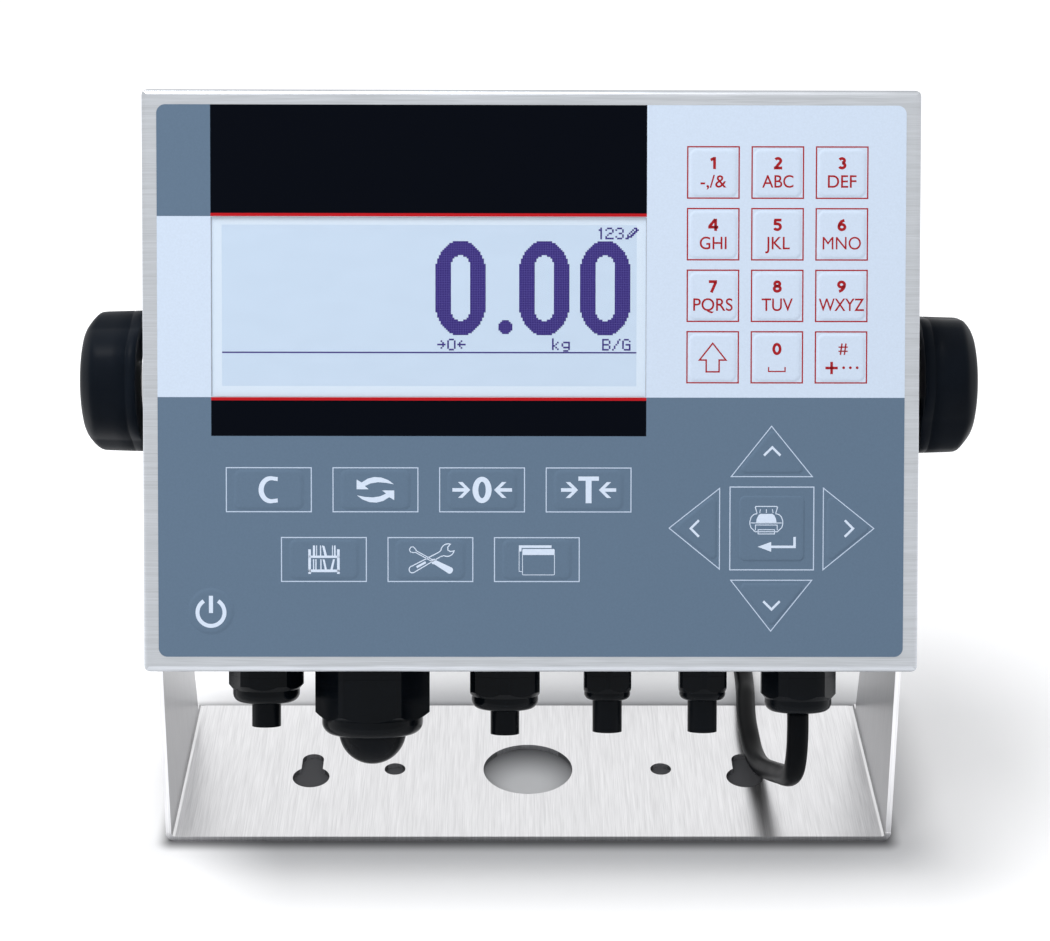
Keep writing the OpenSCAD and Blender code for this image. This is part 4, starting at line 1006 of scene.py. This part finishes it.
# %% [markdown]
# ## Display
# The display is a grid of square dots. Each big zero is drawn row by row of dots: a stadium shape
# outside, a narrow hole inside, both rounded to whole dots, which gives the stepped edges of a real
# screen. The ink itself is slightly lighter between the dots.

# %% Display dots
DOT, GRID = 0.59, 0.82
lit, tree, shader = new_finish("display_ink", ink(58, 48, 112), 0.4, Specular_IOR_Level=0.05)
saws = [maths(tree, "FRACT", maths(tree, "MULTIPLY", place_xyz(tree)[axis], size / (DOT * MM)))
        for axis, size in (("X", 1.0), ("Z", 1 / cos(TILT)))]
gaps = maths(tree, "GREATER_THAN", maths(tree, "MAXIMUM", *saws), GRID)
feed(tree, shader.inputs["Base Color"], mixed(tree, gaps, ink(52, 40, 112), ink(92, 84, 158)))


ROWS_HIGH, ZERO, HOLE = 54, (27.2, 14.6, 9), (19, 5.6, 11)
ZERO_PLACES, POINT_ROWS, POINT_PLACE = (-24.16, 4.3, 25.0), (2, 3, 4, 4, 4, 4, 3, 2), (-8.9, 18.7)
LIT, GLASS = (-105.2, -1.4, 35.7, 53.3), (-108.6, -4.9, 38.8, 55.8)


def half_width(row, half_height, half, straight):
    """Half of the width of a stadium shape at a row, with elliptical ends."""
    reach = max(abs(row) - straight, 0) / (half_height - straight)
    return half * sqrt(max(1 - reach ** 2, 0)) if reach < 1 else 0


def big_zero(drawing, x, y):
    """A zero of dots round this middle."""
    for k in range(ROWS_HIGH):
        row = k - (ROWS_HIGH - 1) / 2
        outside = int(half_width(row, *ZERO)) + 0.5
        hole = int(half_width(row, *HOLE)) + 0.5 if abs(row) < HOLE[0] else 0
        low, high = y + row * DOT - DOT / 2, y + row * DOT + DOT / 2
        if hole:
            drawing.bar(x - outside * DOT, low, x - hole * DOT, high)
            drawing.bar(x + hole * DOT, low, x + outside * DOT, high)
        elif outside:
            drawing.bar(x - outside * DOT, low, x + outside * DOT, high)


reading = Drawing()
for x in ZERO_PLACES:
    big_zero(reading, x, 31.9)
for k, wide in enumerate(POINT_ROWS):
    x, low = POINT_PLACE[0], POINT_PLACE[1] + (k - len(POINT_ROWS) / 2) * DOT
    reading.bar(x - wide * DOT, low, x + wide * DOT, low + DOT)
reading.bar(LIT[0], 9.78, LIT[2], 10.27)
print("big figures of", len(reading.faces), "faces")

# %% [markdown]
# The small signs are set in a dot alphabet: each word of ones and zeros is a row of dots, from the
# top down. The last sign is the small pen beside the three figures.

# %% Small signs
SIGNS = {
    "0": "01110 10001 10001 10001 10001 10001 01110",
    "1": "00010 00110 00010 00010 00010 00010 00010",
    "2": "01110 10001 00001 00110 01000 10000 11111",
    "3": "01110 10001 00001 00110 00001 10001 01110",
    ">": "00000 00100 00010 11111 00010 00100 00000",
    "<": "00000 00100 01000 11111 01000 00100 00000",
    "k": "10000 10000 10010 10100 11000 10100 10010",
    "g": "00000 01111 10001 10001 01111 00001 01110",
    "B": "11110 10001 10001 11110 10001 10001 11110",
    "/": "00001 00010 00010 00100 01000 01000 10000",
    "G": "01110 10001 10000 10111 10001 10001 01111",
    "~": "00000110 00001011 00010110 00101100 01011000 01110000 11000000"}


def dots(drawing, text, x, y, dot=0.57):
    """Small signs from their lower left corner, in the dot alphabet."""
    for sign in text:
        for row, line in enumerate(SIGNS[sign].split()):
            for column, on in enumerate(line):
                if on == "1":
                    drawing.bar(x + column * dot, y + (6 - row) * dot, x + (column + 1) * dot,
                                y + (7 - row) * dot)
        x += 6 * dot


dots(reading, "123~", 21.6, 48.5)
dots(reading, ">0<", -32.1, 10.75)
dots(reading, "k", 6.95, 10.9)
dots(reading, "g", 10.2, 10.35)
dots(reading, "B/G", 24.0, 10.75)
reading.lay("display_reading", LCD, lit, "housing")
print("display reading of", len(reading.faces), "faces")

# %% [markdown]
# The lit area has a lighter border, which lies just under the dots. On the film, a thin raised rim
# runs round the window, where the clear sheet is let in.

# %% Border and rim
border = Drawing()
border.fill(corners(*GLASS), corners(*LIT))
edge = print_ink("display_edge", ink(222, 236, 250), ink(216, 231, 247), 0.35)
border.lay("display_border", LCD * 0.6, edge, "housing")
rim = Drawing()
rim.box(BAND_RIGHT - BAND_LEFT + 0.1, WINDOW_HIGH - WINDOW_LOW + 0.1, 0.3,
        (BAND_LEFT + BAND_RIGHT) / 2, (WINDOW_LOW + WINDOW_HIGH) / 2)
rim.lay("window_rim", FILM, finishes["panel_film"], "housing")
print("border and rim laid")

# %% [markdown]
# ## Studio
# The floor is a plain pale sheet. Even light from all round hardly darkens the paper close to the
# base plate, so a soft shade is worked into its colour there, by the distance from the plate's edge.
# The paper that shows through the big hole in the plate keeps a little light in its middle.

# %% Floor
PAPER, PAPER_DROP, PAPER_HALF, HOLE_MIDDLE = ink(236, 236, 237), -0.05, 3000, (0, -10 * MM, 0)
edges = corners(-PAPER_HALF, -PAPER_HALF, PAPER_HALF, PAPER_HALF)
floor = new_piece("floor", [(x, y, PAPER_DROP) for x, y in edges], [(0, 1, 2, 3)])
sheet, tree, shader = new_finish("floor_paper", PAPER, 0.9, Specular_IOR_Level=0.0)
floor.data.materials.append(sheet)
foot = [v.co for v in nodes["bracket"].data.vertices if v.co.z < 0.1 * MM]


def outside(axis):
    """Square of how far a place lies beyond the foot along this axis."""
    low, high = min(p[axis] for p in foot), max(p[axis] for p in foot)
    way = maths(tree, "ABSOLUTE", maths(tree, "SUBTRACT", place_xyz(tree)[axis], (low + high) / 2))
    past = maths(tree, "MAXIMUM", maths(tree, "SUBTRACT", way, (high - low) / 2), 0)
    return maths(tree, "MULTIPLY", past, past)


def soft(value, stop, high=1, start=0):
    return ramp(tree, value, start * MM, stop * MM, high, "SMOOTHSTEP")


reach = maths(tree, "SQRT", maths(tree, "ADD", outside(0), outside(1)))
from_hole = add_node(tree, "ShaderNodeVectorMath", {0: place(tree), 1: HOLE_MIDDLE},
                     operation="DISTANCE")
under = mixed(tree, soft(from_hole.outputs["Value"], 30, start=4), ink(255, 255, 255),
              ink(112, 112, 114))
feed(tree, shader.inputs["Base Color"], mixed(tree, soft(reach, 8), under, PAPER))
print("floor shaded round a foot of", len(foot), "points")

# %% [markdown]
# A studio background comes out white, but more light on the paper would also bleach the object. So
# the paper glows a little, only for rays that come straight from the camera or off something
# glossy. The glow grows with the distance from the plate, and the shadow stays.

# %% Glow of the paper
def first_sight(tree, *kinds):
    """1 for rays of these kinds and 0 for the light that falls on other things."""
    path = add_node(tree, "ShaderNodeLightPath")
    seen = path.outputs[f"Is {kinds[0]} Ray"]
    for kind in kinds[1:]:
        seen = maths(tree, "MAXIMUM", seen, path.outputs[f"Is {kind} Ray"])
    return seen


def choose(tree, share, first, second, kind="World Output"):
    """Sends the first shader to the output, or the second where share is 1."""
    mix = add_node(tree, "ShaderNodeMixShader", {0: share, 1: first, 2: second})
    feed(tree, tree.nodes[kind].inputs["Surface"], mix.outputs[0])


strength = maths(tree, "ADD", soft(reach, 30, 0.3), soft(reach, 300, 0.15))
glow = add_node(tree, "ShaderNodeEmission", {"Strength": strength})
brighter = add_node(tree, "ShaderNodeAddShader", {0: shader.outputs[0], 1: glow.outputs[0]})
choose(tree, first_sight(tree, "Camera", "Glossy"), shader.outputs[0], brighter.outputs[0],
       "Material Output")
print("paper glows with", len(tree.nodes), "nodes")

# %% [markdown]
# The world lights the object evenly and looks white to the camera, in gloss and through glass. A
# soft lamp high on the left gives the shadow, and a wider one in front lifts the face and the plate.
# The second stays out of reflections, so that it leaves no bright patch on the film.

# %% Light
world = bpy.data.worlds.new("studio")
scene.world = world
world.use_nodes = True
tree = world.node_tree
background = tree.nodes["Background"]
background.inputs["Color"].default_value = (0.97, 0.98, 1, 1)
background.inputs["Strength"].default_value = 0.52
white = add_node(tree, "ShaderNodeBackground", {"Color": (1, 1, 1, 1)})
choose(tree, first_sight(tree, "Camera", "Glossy", "Transmission"), background.outputs[0],
       white.outputs[0])


def soft_lamp(name, spot, aim, size, energy):
    """A round lamp at a spot, turned towards its aim. A wide one throws a soft shadow."""
    data = bpy.data.lights.new(name, "AREA")
    data.shape, data.size, data.energy = "DISK", size, energy
    lamp = bpy.data.objects.new(name, data)
    scene.collection.objects.link(lamp)
    lamp.location = spot
    lamp.rotation_euler = (Vector(aim) - Vector(spot)).to_track_quat("-Z", "Y").to_euler()
    return lamp


soft_lamp("lamp_top", (-0.5, -0.15, 1.8), (0, 0, 0.1), 0.8, 20)
soft_lamp("lamp_front", (-0.7, -1.6, 1.3), (0, 0, 0.15), 1.2, 7.5).visible_glossy = False
print("studio lit")
